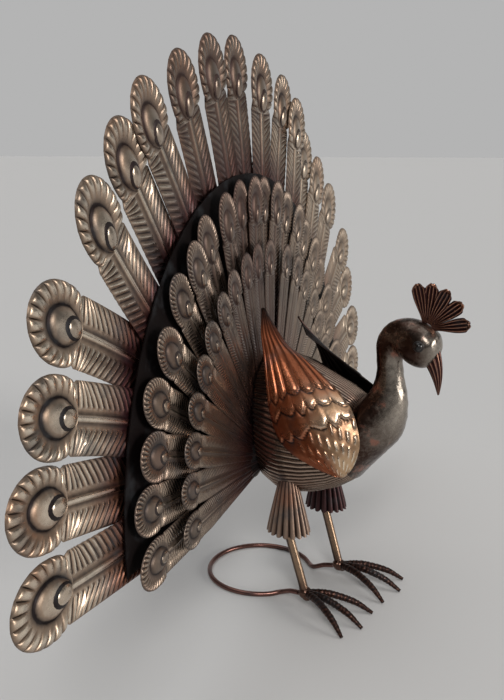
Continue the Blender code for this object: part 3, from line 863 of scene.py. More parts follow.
@dataclass(frozen=True)
class Feather:
    """Sizes of one stamped feather and the way its pattern piece is made."""

    root: float
    tip: float
    head_length: float
    head_width: float
    vane_width: float
    bare: float
    pitch: float
    flutes: int
    quill: float
    barb: float
    dome: float
    pillow: float
    wedge_deg: float
    eye_shade: float
    barb_lobe: Lobe
    flute_lobe: Lobe
    slant: float = 0.80
    lift: float = 0.0007
    eye_at: float = 0.33
    eye_half: tuple[float, float] = (0.235, 0.31)
    across: tuple[float, ...] = (0.0, 0.06, 0.11, 0.16, 0.26, 0.34, 0.60, 0.90, 1.0)
    vane_sheet: float = 0.0005
    head_sheet: float = 0.0006
    head_waist: float = 0.45
    tuck: float = 0.0003  # how far the vane's end sinks behind the head
    eye_curve: float = 2.5
    eye_round: float = 0.65

    @property
    def start(self) -> float:
        """Return where the head starts."""
        return self.tip - self.head_length

    def half_width(self, radius: Array) -> Array:
        """Return the vane's half width.

        Args:
            radius: Distances from the hub.

        Returns:
            Half widths, narrowing under the head.
        """
        wedge = radius * math.tan(math.radians(self.wedge_deg))
        grown = np.minimum(wedge, self.vane_width / 2)
        knots = [self.start + share * self.head_length for share in (0.0, 0.02, 0.12, 0.24)]
        return grown * np.interp(radius, knots, (1.0, 1.0, 0.84, 0.70))

    def vane(self, shop: Workshop) -> bpy.types.Object:
        """Make the barbed vane with its quill, up to its end under the head.

        Args:
            shop: The workshop.

        Returns:
            An open sheet: x to the front, y across, z along the feather.
        """
        top = self.tip - self.head_length * 0.77
        barbs = int((top - self.bare) / self.pitch)
        across = np.array([-s for s in reversed(self.across[1:])] + list(self.across))
        side = np.abs(across)
        rib = np.interp(side, (0, 0.06, 0.11, 0.16), (1.0, 0.85, 0.30, 0.0))
        lift = np.interp(side, (0, 0.26, 0.34, 0.60, 0.86, 0.95, 1.0),
                         (0.0, 0.0, 0.75, 1.0, 0.95, 0.45, 0.0))
        plain = np.interp(side, (0, 0.06, 0.11, 0.16, 0.26, 0.34), (0.9, 0.8, 0.2, 0.25, 0.6, 0.5))
        rows = barbs * len(self.barb_lobe.shares) + 1
        columns = len(across) - 1

        def lay(u: Array, v: Array) -> Surface:
            """Lay the vane.

            Args:
                u: Shares across it.
                v: Shares from its root to its end.

            Returns:
                Its surface.
            """
            column = line_number(u, columns)
            row = line_number(v, rows)
            turn, ridge = self.barb_lobe.at(row - 1)
            along = self.bare + (top - self.bare) * turn / barbs
            along = np.where(row == 0, self.root, along)
            share = (along - self.root) / (top - self.root)
            lean = self.slant * (1.0 - 0.9 * smooth_step(0.86, 0.97, share))
            a = across[column]
            half = self.half_width(along)
            grow = smooth_step(0.0, 0.25, share)
            ridge = np.where(row == 0, 0.0, ridge)
            taper = 0.55 + 0.45 * share
            z = along + lean * grow * np.maximum(np.abs(a) - 0.16, 0.0) * half
            under = smooth_step(self.start + 0.04 * self.head_length,
                                self.start + 0.13 * self.head_length, z)
            x = SHEET + (self.quill * rib[column] * taper + self.barb * ridge * lift[column]) * (
                1.0 - under) - self.tuck * under
            points = np.stack([x, a * half, z], axis=1)
            edge = smooth_step(0.88, 1.0, np.abs(a))
            shade = np.where(np.abs(a) < 0.27, plain[column], ridge * (1.0 - edge) + 0.4 * edge)
            return Surface(points, shade, z)

        return shop.grid(columns, rows, lay)

    def rim(self, angle: Array) -> tuple[Array, Array]:
        """Return the head's outline: half an ellipse, and a squarer half towards the root.

        Args:
            angle: Angles from the tip.

        Returns:
            Distances across and along the feather.
        """
        centre = self.start + self.head_waist * self.head_length
        sine = np.sin(angle)
        cosine = np.cos(angle)
        front = centre + 0.55 * self.head_length * cosine
        low_across = 0.5 * self.head_width * np.sign(sine) * np.abs(sine) ** 0.72
        back = centre - self.head_waist * self.head_length * np.abs(cosine) ** 0.72
        return (np.where(cosine >= 0, 0.5 * self.head_width * sine, low_across),
                np.where(cosine >= 0, front, back))

    def head(self, shop: Workshop) -> bpy.types.Object:
        """Make the oval head: a fluted, rolled rim round a raised teardrop eye.

        Args:
            shop: The workshop.

        Returns:
            An open sheet in the feather's own place.
        """
        fine = np.linspace(0.0, TURN, 721)
        rim_y, rim_z = self.rim(fine)
        runs = np.hypot(np.diff(rim_y), np.diff(rim_z))
        length = np.concatenate([[0.0], np.cumsum(runs)])
        columns = self.flutes * len(self.flute_lobe.shares)
        eye_rings = np.array((0.0, 0.45, 0.74, 0.90, 1.0))
        eye_rise = (1.0 - eye_rings ** self.eye_curve) ** self.eye_round
        eye_shade = (0.80, 0.76, 0.64, 0.34, 0.0)
        rings = np.array((0.05, 0.14, 0.27, 0.41, 0.54, 0.67, 0.80, 0.91, 0.97, 1.0))
        roll = (-0.20, 0.05, 0.38, 0.68, 0.90, 1.0, 0.98, 0.84, 0.55, 0.05)
        flute = (0.0, 0.0, 0.10, 0.42, 0.80, 1.0, 1.0, 0.84, 0.48, 0.08)
        shade = (0.04, 0.28, 0.52, 0.66, 0.82, 0.92, 0.84, 0.64, 0.44, 0.24)
        rows = len(eye_rings) + len(rings) - 1
        radial = np.concatenate([eye_rings, rings])
        kind = np.concatenate([eye_rise, roll])
        cut = np.concatenate([np.zeros(len(eye_rings)), flute])
        tone = np.concatenate([eye_shade, shade])
        eye_z = self.start + self.eye_at * self.head_length

        def lay(u: Array, v: Array) -> Surface:
            """Lay the head.

            Args:
                u: Shares round it, from the tip.
                v: Shares from its eye's middle to its rim.

            Returns:
                Its surface.
            """
            row = line_number(v, rows)
            column = line_number(u, columns)
            place, wave = self.flute_lobe.at(column)
            place = (place + 0.5) / self.flutes % 1.0
            run = place * length[-1]
            angle = np.interp(run, length, fine)
            edge_y = np.interp(run, length, rim_y)
            edge_z = np.interp(run, length, rim_z)
            back = smooth_step(0.0, 1.0, -np.cos(angle))
            eye_y = self.eye_half[0] * self.head_width * np.sin(angle) * (1.0 - 0.30 * back)
            eye_top = self.eye_half[1] * self.head_length * np.cos(angle)
            ring = radial[row]
            on_eye = row < len(eye_rings)
            depth = cut[row] * (1.0 - smooth_step(0.62, 0.92, -np.cos(angle)))
            outer = np.where(on_eye, 0.0, ring)
            reach = np.where(on_eye, ring, 1.0)
            y = eye_y * reach + (edge_y - eye_y) * outer
            z = eye_z + eye_top * reach + (edge_z - eye_z - eye_top) * outer
            low = self.pillow * (1.0 - 0.55 * back)
            sunk = (self.lift + 0.0002) * smooth_step(0.45, 0.95, back) * smooth_step(
                0.15, 0.80, ring)
            x = np.where(on_eye, self.dome * kind[row],
                         low * kind[row] - 1.3 * self.barb * depth * (1.0 - wave) - sunk)
            number = tone[row] * (1.0 - depth * (1.0 - wave) ** 0.8)
            number = np.where(on_eye, number * self.eye_shade + 0.30 * (1.0 - self.eye_shade),
                              number)
            number = np.maximum(number, 0.34 * back * (ring > 0.9))
            points = np.stack([x + SHEET + self.lift, y, z], axis=1)
            return Surface(points, number, z)

        return shop.grid(columns, rows, lay)

    def make(self, shop: Workshop) -> bpy.types.Object:
        """Make the whole feather as a pattern piece.

        Args:
            shop: The workshop.

        Returns:
            A closed feather: x to the front, y across, z along it.
        """
        head = self.head(shop)
        shop.weld(head, 0.00002)
        vane = self.vane(shop)
        for sheet, thickness in ((head, self.head_sheet), (vane, self.vane_sheet)):
            shop.face(sheet, np.array([1.0, 0.0, 0.0]))
            shop.thicken(sheet, thickness)
        boss = self.drop_on_eye(shop, 0.205, (0.48, 0.118, 0.155), 0.72)
        # A dark crescent on the boss's tip side: a groove, with painted shadow cast by the boss.
        socket_and_shadow = self.drop_on_eye(shop, 0.225, (0.20, 0.150, 0.190),
                                  0.04 + 0.2 * (1.0 - self.eye_shade))
        return shop.join([vane, head, boss, socket_and_shadow])

    def drop_on_eye(self, shop: Workshop, at: float, size: tuple[float, float, float],
                    relief: float) -> bpy.types.Object:
        """Make a drop of metal that lies on the eye's dome.

        Args:
            shop: The workshop.
            at: Where its middle sits, as a share of the head's length from its start.
            size: Its half sizes, as shares of the dome, the head's width and its length.
            relief: Relief number for its finish.

        Returns:
            The drop.
        """
        drop = shop.dab((0.0, 0.0, self.start + at * self.head_length),
                        (size[0] * self.dome, size[1] * self.head_width,
                         size[2] * self.head_length), relief, self.tip, 12, 8)
        points = shop.coordinates(drop)
        away = (points[:, 2] - self.start) / self.head_length - self.eye_at
        ring = np.hypot(away / self.eye_half[1],
                        points[:, 1] / (self.eye_half[0] * self.head_width))
        rise = (1.0 - np.minimum(ring, 0.93) ** self.eye_curve) ** self.eye_round
        points[:, 0] += SHEET + self.lift + self.dome * rise
        shop.set_coordinates(drop, points)
        return drop


@dataclass(frozen=True)
class Group:
    """Feathers that stand evenly beside each other, with the swing of their heads."""

    first_deg: float
    extra: float = 0.0
    swing_deg: float = 0.0
    count: int = 1
    step_deg: float = 0.0


@dataclass(frozen=True)
class Place:
    """Where one feather stands: its turn, extra reach and swing, in radians and metres."""

    angle: float
    extra: float
    swing: float


@dataclass(frozen=True)
class Tier:
    """One tier of the fan."""

    name: str
    feather: Feather
    groups: tuple[Group, ...]
    slope_deg: float
    depth: float
    layer: float
    side_gain: float = 0.0
    rise: float = 0.0
    tilt: float = 0.018  # most slope across a feather

    def places(self) -> list[Place]:
        """Work out where each feather stands.

        Returns:
            The places, from the camera's side round the fan.
        """
        return [Place(math.radians(group.first_deg + k * group.step_deg), group.extra,
                      math.radians(group.swing_deg))
                for group in self.groups for k in range(group.count)]

    def swung(self, radius: Array, across: Array, head_start: float, tip: float,
              swing: float) -> tuple[Array, Array]:
        """Turn a feather's head about its middle and bend its vane back to the root.

        Args:
            radius: Distances along the feather.
            across: Distances across it.
            head_start: Where its head starts.
            tip: Where its head ends.
            swing: The head's turn, in radians.

        Returns:
            The new distances along and across.
        """
        root = self.feather.root
        share = np.minimum(1.0, (radius - root) / (head_start - root))
        pivot = (head_start + tip) / 2
        arm = radius - pivot
        turn = swing * share
        along = arm * (1.0 - (1.0 - math.cos(swing)) * share) - across * np.sin(turn)
        aside = arm * math.sin(swing) * share + across * np.cos(turn)
        return pivot + along, aside

    def set_feather(self, shop: Workshop, pattern: bpy.types.Object, number: int,
                    place: Place) -> bpy.types.Object:
        """Copy the pattern feather and set it in the fan.

        Args:
            shop: The workshop.
            pattern: The pattern feather.
            number: Its place in the tier, from 1.
            place: Its turn, reach and swing.

        Returns:
            The feather in its place.
        """
        twin = shop.copy(pattern)
        points = shop.coordinates(twin)
        feather = self.feather
        old_start = feather.start
        gain = 1.0 + self.side_gain * (min(0.0, place.angle) / (math.pi / 2)) ** 2
        new_tip = feather.tip + place.extra
        new_start = new_tip - feather.head_length * gain
        z = points[:, 2]
        low = feather.root + (z - feather.root) * (new_start - feather.root) / (
            old_start - feather.root)
        high = new_start + (z - old_start) * gain
        z, y = self.swung(np.where(z < old_start, low, high), points[:, 1], new_start, new_tip,
                          place.swing)
        turn = self.tilt * math.sin(number * 2.4)
        depth = points[:, 0] + self.depth + self.layer * (number % 2) + y * turn
        world = fan_points(z, place.angle, y, depth, math.radians(self.slope_deg), self.rise)
        shop.set_coordinates(twin, world)
        # Painted light: the pale wash grows towards +Y, and the painted shade peaks near the top.
        shop.set_attribute(twin, "pale", smooth_step(0.15, 1.0, np.array(place.angle)))
        shop.set_attribute(twin, "painted_top_shade", bell(math.degrees(place.angle), -8.0, 25.0))
        return twin


@dataclass
class SubAssembly:
    """What every sub-assembly is made with."""

    shop: Workshop
    finishes: Finishes


@dataclass
class Fan(SubAssembly):
    """The tail fan: three tiers of feathers round a hub."""

    outer: Tier = Tier(
        "outer",
        Feather(root=0.042, tip=0.2562, head_length=0.0360, head_width=0.0338,
                vane_width=0.0306, bare=0.062, pitch=0.0044, flutes=20, quill=0.0010,
                barb=0.0011, dome=0.0022, pillow=0.0019, wedge_deg=6.6, eye_shade=1.0,
                barb_lobe=BARB, flute_lobe=FLUTE),
        (Group(-83.9, 0.0006, 1.0), Group(-75.35, 0.0006, -2.5), Group(-66.8, 0.0006, -6.0),
         Group(-58.0, 0.0040, -8.0), Group(-45.9, -0.0008, 7.0), Group(-36.5, -0.0022, 0.0),
         Group(-29.6, 0.0010, -8.0), Group(-18.6, -0.0020, -4.5),
         Group(-10.0, 0.0002, -8.5, 2, 9.4), Group(8.6, -0.0038, -5.0),
         Group(19.6, -0.0012, -3.0), Group(26.0, -0.0052, -14.0),
         Group(32.8, -0.0145, -16.0, 2, 7.8), Group(50.6, -0.0030, -15.0),
         Group(62.1, 0.0008, -7.0), Group(70.9, 0.0008, 0.0, 3, 8.8)),
        slope_deg=0.0, depth=0.0, layer=0.0019, side_gain=0.153, rise=-0.0031)
    middle: Tier = Tier(
        "middle",
        Feather(root=0.040, tip=0.1742, head_length=0.0290, head_width=0.0240,
                vane_width=0.0212, bare=0.056, pitch=0.0026, flutes=32, quill=0.0007,
                barb=0.0007, dome=0.0015, pillow=0.0012, wedge_deg=6.2, eye_shade=0.55,
                barb_lobe=FINE_BARB, flute_lobe=FINE_FLUTE,
                across=(0.0, 0.08, 0.16, 0.27, 0.36, 0.62, 0.90, 1.0)),
        tuple(Group(first_deg, count=count, step_deg=step_deg)
              for first_deg, count, step_deg in (
                  (-88.9, 5, 8.95), (-42.4, 3, 7.8), (-17.3, 1, 0.0),
                  (-8.0, 4, 6.95), (21.3, 4, 7.6), (52.2, 5, 8.9))),
        slope_deg=0.8, depth=0.0044, layer=0.0019)
    inner: Tier = Tier(
        "inner",
        Feather(root=0.020, tip=0.1363, head_length=0.0225, head_width=0.0186,
                vane_width=0.0165, bare=0.036, pitch=0.0020, flutes=26, quill=0.0006,
                barb=0.0005, dome=0.0011, pillow=0.0008, wedge_deg=4.95, eye_shade=0.45,
                barb_lobe=FINE_BARB, flute_lobe=FINE_FLUTE, lift=0.0005,
                across=(0.0, 0.10, 0.26, 0.38, 0.88, 1.0)),
        (Group(-87.9, count=11, step_deg=9.17), Group(18.9, count=8, step_deg=9.9)),
        slope_deg=1.2, depth=0.0088, layer=0.0006)
    inner_front: float = 0.0016  # how far the inner feathers stand before their tier's plane

    def make(self) -> None:
        """Make every feather of the three tiers."""
        for tier, finish, slot in (
                (self.outer, self.finishes.outer, Slot.ANTIQUE_BRASS),
                (self.middle, self.finishes.middle, Slot.GREY_BRASS)):
            pattern = tier.feather.make(self.shop)
            for number, place in enumerate(tier.places(), start=1):
                twin = tier.set_feather(self.shop, pattern, number, place)
                self.shop.finish(
                    twin, f"plume_{tier.name}_{number:02d}", finish, slot,
                    [f"feather_{tier.name}_{number:02d}"])
            self.shop.drop(pattern)
        pattern = self.inner.feather.make(self.shop)
        twins = []
        for number, place in enumerate(self.inner.places(), start=1):
            twins.append(self.inner.set_feather(self.shop, pattern, number, place))
        self.shop.drop(pattern)
        self.shop.finish(
            self.shop.join(twins), "plumes_inner", self.finishes.inner, Slot.GREY_BRASS,
            ["feathers_inner"])

    def front_x(self, y: Array, z: Array) -> Array:
        """Find how far forward the inner tier's front stands.

        Args:
            y: Distances to the bird's left.
            z: Heights.

        Returns:
            Forward distances in the bird frame.
        """
        x = np.full_like(y, 0.012)
        slope = math.radians(self.inner.slope_deg)
        for _ in range(6):
            world = bird_points(x, y, z) - SHIFT - np.array([FAN_X, 0.0, FAN_Z])
            local_x = world[:, 0] * math.cos(FAN_LEAN) + world[:, 2] * math.sin(FAN_LEAN)
            local_z = -world[:, 0] * math.sin(FAN_LEAN) + world[:, 2] * math.cos(FAN_LEAN)
            radius = np.hypot(world[:, 1], local_z)
            target = self.inner.depth + self.inner_front + radius * math.sin(slope)
            x = x + (target - local_x) / math.cos(BIRD_YAW)
        return x


@dataclass
class Body(SubAssembly):
    """The egg-shaped body with its lengthwise ribs."""

    fan: Fan
    stations: tuple[tuple[float, ...], ...] = (
        # x, bottom z, top z, half width
        (0.0120, 0.0705, 0.1460, 0.0300),
        (0.0270, 0.0652, 0.1490, 0.0328),
        (0.0370, 0.0650, 0.1470, 0.0335),
        (0.0520, 0.0685, 0.1410, 0.0318),
        (0.0660, 0.0740, 0.1355, 0.0280),
        (0.0765, 0.0812, 0.1300, 0.0235),
    )
    ribs: int = 76
    rib_height: float = 0.0009
    squareness: float = 2.25
    seam_at: float = 0.42
    seam_depth: float = 0.0009

    def make(self) -> None:
        """Make the ribbed shell, closed at both ends."""
        table = np.array(self.stations)
        rear_x, front_x = self.stations[0][0], self.stations[-1][0]
        sizes = np.array([0.0, 0.6, 0.94, 1.0] + [1.0] * 24 + [0.97, 0.6, 0.0])
        lengths = np.array([0.0, 0.0, 0.0] + list(np.linspace(0.0, 1.0, 26)) + [1.0, 1.0])
        rows = len(sizes) - 1

        def lay(u: Array, v: Array) -> Surface:
            """Lay the shell.

            Args:
                u: Shares round it.
                v: Shares from the rear to the front.

            Returns:
                Its surface.
            """
            row = line_number(v, rows)
            size = sizes[row]
            share = lengths[row]
            nominal = rear_x + share * (front_x - rear_x)
            low, high, half = (np.interp(nominal, table[:, 0], table[:, k]) for k in (1, 2, 3))
            cosine = np.cos(TURN * u)
            sine = np.sin(TURN * u)
            shape = (np.abs(cosine) ** self.squareness
                     + np.abs(sine) ** self.squareness) ** (-1 / self.squareness)
            wave = np.abs(np.sin(math.pi * u * self.ribs)) ** 0.7
            drop = self.rib_height * (1.0 - wave)
            seam = bell(share, self.seam_at, 0.012) * self.seam_depth
            y = size * (half - drop - seam) * shape * cosine
            z = (low + high) / 2 + size * ((high - low) / 2 - drop - seam) * shape * sine
            rear = self.fan.front_x(y, z) + 0.0008
            x = nominal + (1.0 - share) ** 3 * (rear - rear_x)
            shade = wave * (1.0 - 0.7 * bell(share, self.seam_at, 0.02))
            return Surface(bird_points(x, y, z), shade * np.minimum(1.0, size), share)

        shell = self.shop.shell(self.ribs * 5, rows, lay)
        self.shop.finish(shell, "ribbed_body", self.finishes.body, Slot.DARK_BRASS, ["body"])


@dataclass
class Neck(SubAssembly):
    """The smooth chest, neck and head, beaten all over."""

    stations: tuple[tuple[float, ...], ...] = (
        # back x, back z, front x, front z, half width
        (0.0770, 0.1298, 0.0770, 0.0814, 0.0232),
        (0.0795, 0.1318, 0.0845, 0.0905, 0.0215),
        (0.0818, 0.1345, 0.0930, 0.1002, 0.0185),
        (0.0838, 0.1378, 0.1001, 0.1088, 0.0150),
        (0.0850, 0.1410, 0.1037, 0.1190, 0.0118),
        (0.0859, 0.1450, 0.1042, 0.1320, 0.0090),
        (0.0862, 0.1500, 0.1020, 0.1430, 0.0075),
        (0.0856, 0.1565, 0.1005, 0.1530, 0.0068),
        (0.0855, 0.1650, 0.1012, 0.1570, 0.0070),
        (0.0900, 0.1733, 0.1026, 0.1576, 0.0080),
        (0.0970, 0.1778, 0.1045, 0.1548, 0.0093),
        (0.1050, 0.1792, 0.1085, 0.1530, 0.0104),
        (0.1130, 0.1776, 0.1140, 0.1528, 0.0104),
        (0.1190, 0.1738, 0.1192, 0.1560, 0.0084),
        (0.1216, 0.1700, 0.1216, 0.1610, 0.0048),
        (0.1222, 0.1655, 0.1222, 0.1655, 0.0),
    )
    beat_depth: float = 0.00018

    def make(self) -> None:
        """Make the loft from the chest to the forehead."""
        rows = 92
        sizes = np.array([0.0, 0.9] + [1.0] * (rows - 1))
        shares = np.concatenate([[0.0, 0.0], np.linspace(0.0, 1.0, rows - 1)])

        def lay(u: Array, v: Array) -> Surface:
            """Lay the loft.

            Args:
                u: Shares round it.
                v: Shares from the chest to the forehead.

            Returns:
                Its surface.
            """
            row = line_number(v, rows)
            *rims, half = through(self.stations, shares[row]).T
            cosine = np.cos(TURN * u)
            size = sizes[row]
            x, z = ((back + front) / 2 + (back - front) / 2 * cosine * size
                    for back, front in zip(rims[:2], rims[2:]))
            y = np.maximum(half, 0.0) * np.sin(TURN * u) * size
            beat = self.beat_depth * np.sin(x * 900 + y * 700) * np.sin(z * 820 + y * 500)
            share = shares[row]
            # The throat's front and the forehead turn paler: painted highlight, partly wear.
            throat = smooth_step(-0.35, 0.75, -cosine) * smooth_step(
                0.10, 0.30, share) * (1.0 - smooth_step(0.46, 0.56, share))
            painted_sheen_and_wear = np.maximum(throat, smooth_step(0.76, 0.92, share))
            return Surface(bird_points(x + beat * (size == 1.0), y, z), painted_sheen_and_wear, share)

        shell = self.shop.shell(48, rows, lay, 0.00003)
        self.shop.finish(
            shell, "beaten_neck", self.finishes.neck, Slot.HAMMERED_BRONZE, ["neck_and_head"])


@dataclass
class Face(SubAssembly):
    """Beak, eyes and crest."""

    beak_base: tuple[float, float] = (0.1160, 0.1624)
    beak_tip: tuple[float, float] = (0.1225, 0.1388)
    beak_radius: float = 0.0062
    beak_ribs: int = 12
    beak_curve: float = 0.0016
    beak_flat: float = 0.86  # width of its section, as a share of the depth
    eye_place: tuple[float, float, float] = (0.1140, 0.0101, 0.1665)
    eye_radius: float = 0.0025
    crest_base: tuple[float, float] = (0.1140, 0.1745)
    crest_length: float = 0.0248
    petals_deg: tuple[float, ...] = (-15.0, 5.0, 27.0, 51.0, 78.0)
    petal_width: float = 0.0080
    petal_root: float = 0.003
    petal_neck: float = 0.0016
    petal_sheet: float = 0.0009
    petal_layer: float = 0.0005
    crest_side: float = -0.0006
    petal_rib: float = 0.0007
    petal_scallop: float = 0.0011

    def make(self) -> None:
        """Make the face's pieces."""
        self.make_beak()
        for side, node in ((Side.RIGHT, "eye_right"), (Side.LEFT, "eye_left")):
            self.make_eye(side, node)
        self.make_crest()

    def make_beak(self) -> None:
        """Make the ribbed beak, curved down a little."""
        rows = 16
        base_x, base_z = self.beak_base
        ahead_x, ahead_z = self.beak_tip[0] - base_x, self.beak_tip[1] - base_z
        run = math.hypot(ahead_x, ahead_z)

        def lay(u: Array, v: Array) -> Surface:
            """Lay the beak.

            Args:
                u: Shares round it.
                v: Shares from its base to its tip.

            Returns:
                Its surface.
            """
            share = np.clip((v * rows - 1) / (rows - 2), 0.0, 1.0)
            size = np.where((v == 0.0) | (v == 1.0), 0.0, 1.0)
            wave = np.abs(np.cos(math.pi * u * self.beak_ribs)) ** 0.8
            radius = self.beak_radius * ((1.0 - share) ** 0.95 * 0.92 + 0.08)
            radius = radius * (0.86 + 0.14 * wave) * size
            centre_x = base_x + ahead_x * share + self.beak_curve * np.sin(math.pi * share)
            x = centre_x - ahead_z / run * radius * np.cos(TURN * u)
            z = base_z + ahead_z * share + ahead_x / run * radius * np.cos(TURN * u)
            y = self.beak_flat * radius * np.sin(TURN * u)
            return Surface(bird_points(x, y, z), 0.30 + 0.55 * wave ** 5, share)

        beak = self.shop.shell(self.beak_ribs * 6, rows, lay)
        self.shop.finish(beak, "ribbed_beak", self.finishes.crest, Slot.DARK_COPPER, ["beak"])

    def make_eye(self, side: Side, node: str) -> None:
        """Make one bead in its rolled lid.

        Args:
            side: The bird's side.
            node: The solid that it stands for.
        """
        x, y, z = self.eye_place
        place = bird_point(x, side.value * y, z)
        radius = self.eye_radius
        bead = self.shop.dab(place, (radius, radius, radius), 1.0, 1.0, 32, 20)
        lid = self.shop.dab(place, (radius * 1.25, radius * 0.50, radius * 1.25), 0.0, 0.0, 32, 16)
        self.shop.finish(self.shop.join([bead, lid]), f"bead_{side.name.lower()}",
                         self.finishes.glaze, Slot.BLACK_GLAZE, [node])

    def make_crest(self) -> None:
        """Make the five ribbed petals that share a root."""
        petals = []
        for number, degrees in enumerate(self.petals_deg):
            angle = math.radians(degrees)
            lean = self.petal_layer * (number % 2)

            def lay(u: Array, v: Array) -> Surface:
                """Lay a petal.

                Args:
                    u: Shares across it.
                    v: Shares from its root to its tip.

                Returns:
                    Its surface.
                """
                across = (u - 0.5) * 2.0
                along = self.petal_root + (self.crest_length - self.petal_root) * v
                neck = self.petal_neck + (self.petal_width / 2 - self.petal_neck) * smooth_step(
                    0.05, 0.75, v)
                round_end = np.sqrt(np.clip(1.0 - ((v - 0.84) / 0.16).clip(0.0, 0.97) ** 2,
                                            0.0, 1.0))
                half = neck * round_end
                ribs = np.abs(np.sin(math.pi * u * 4)) ** 0.8
                along = along - self.petal_scallop * (1.0 - ribs) * smooth_step(0.8, 1.0, v)
                side = across * half
                x = self.crest_base[0] + along * math.sin(angle) + side * math.cos(angle)
                z = self.crest_base[1] + along * math.cos(angle) - side * math.sin(angle)
                y = self.crest_side - self.petal_rib * ribs * smooth_step(0.1, 0.4, v) + lean
                rim = smooth_step(0.86, 1.0, v)
                shade = np.maximum(0.30 + 0.66 * ribs ** 11, rim * 0.80)
                return Surface(bird_points(x, y, z), shade, v)

            petal = self.shop.grid(24, 30, lay)
            self.shop.face(petal, bird_way(0.0, -1.0, 0.0))
            self.shop.thicken(petal, self.petal_sheet)
            petals.append(petal)
        crest = self.shop.join(petals)
        self.shop.finish(crest, "petal_crest", self.finishes.crest, Slot.DARK_COPPER, ["crest"])


@dataclass(frozen=True)
class Scallops:
    """One row of rounded feather ends stamped across a wing."""

    edge: float
    reach: float
    teeth: float
    shift: float
    rear_rise: float

    def offset(self, u: Array) -> Array:
        """Find where points fall in their feathers.

        Args:
            u: Shares from the wing's front edge to its rear edge.

        Returns:
            Places from -1 to 1.
        """
        uneven = 0.20 * np.sin(9.0 * u + 40.0 * self.edge)
        return 2.0 * ((u * self.teeth + self.shift + uneven) % 1.0) - 1.0

    def line(self, u: Array) -> Array:
        """Find the row's lower edge.

        Args:
            u: Shares from the wing's front edge to its rear edge.

        Returns:
            Shares of the wing's length.
        """
        bend = np.abs(self.offset(u)) ** 1.7
        uneven = 1.0 + 0.35 * np.sin(13.0 * u + 25.0 * self.edge)
        return self.edge + self.rear_rise * (u - 0.5) - self.reach * uneven * (1.0 - bend)


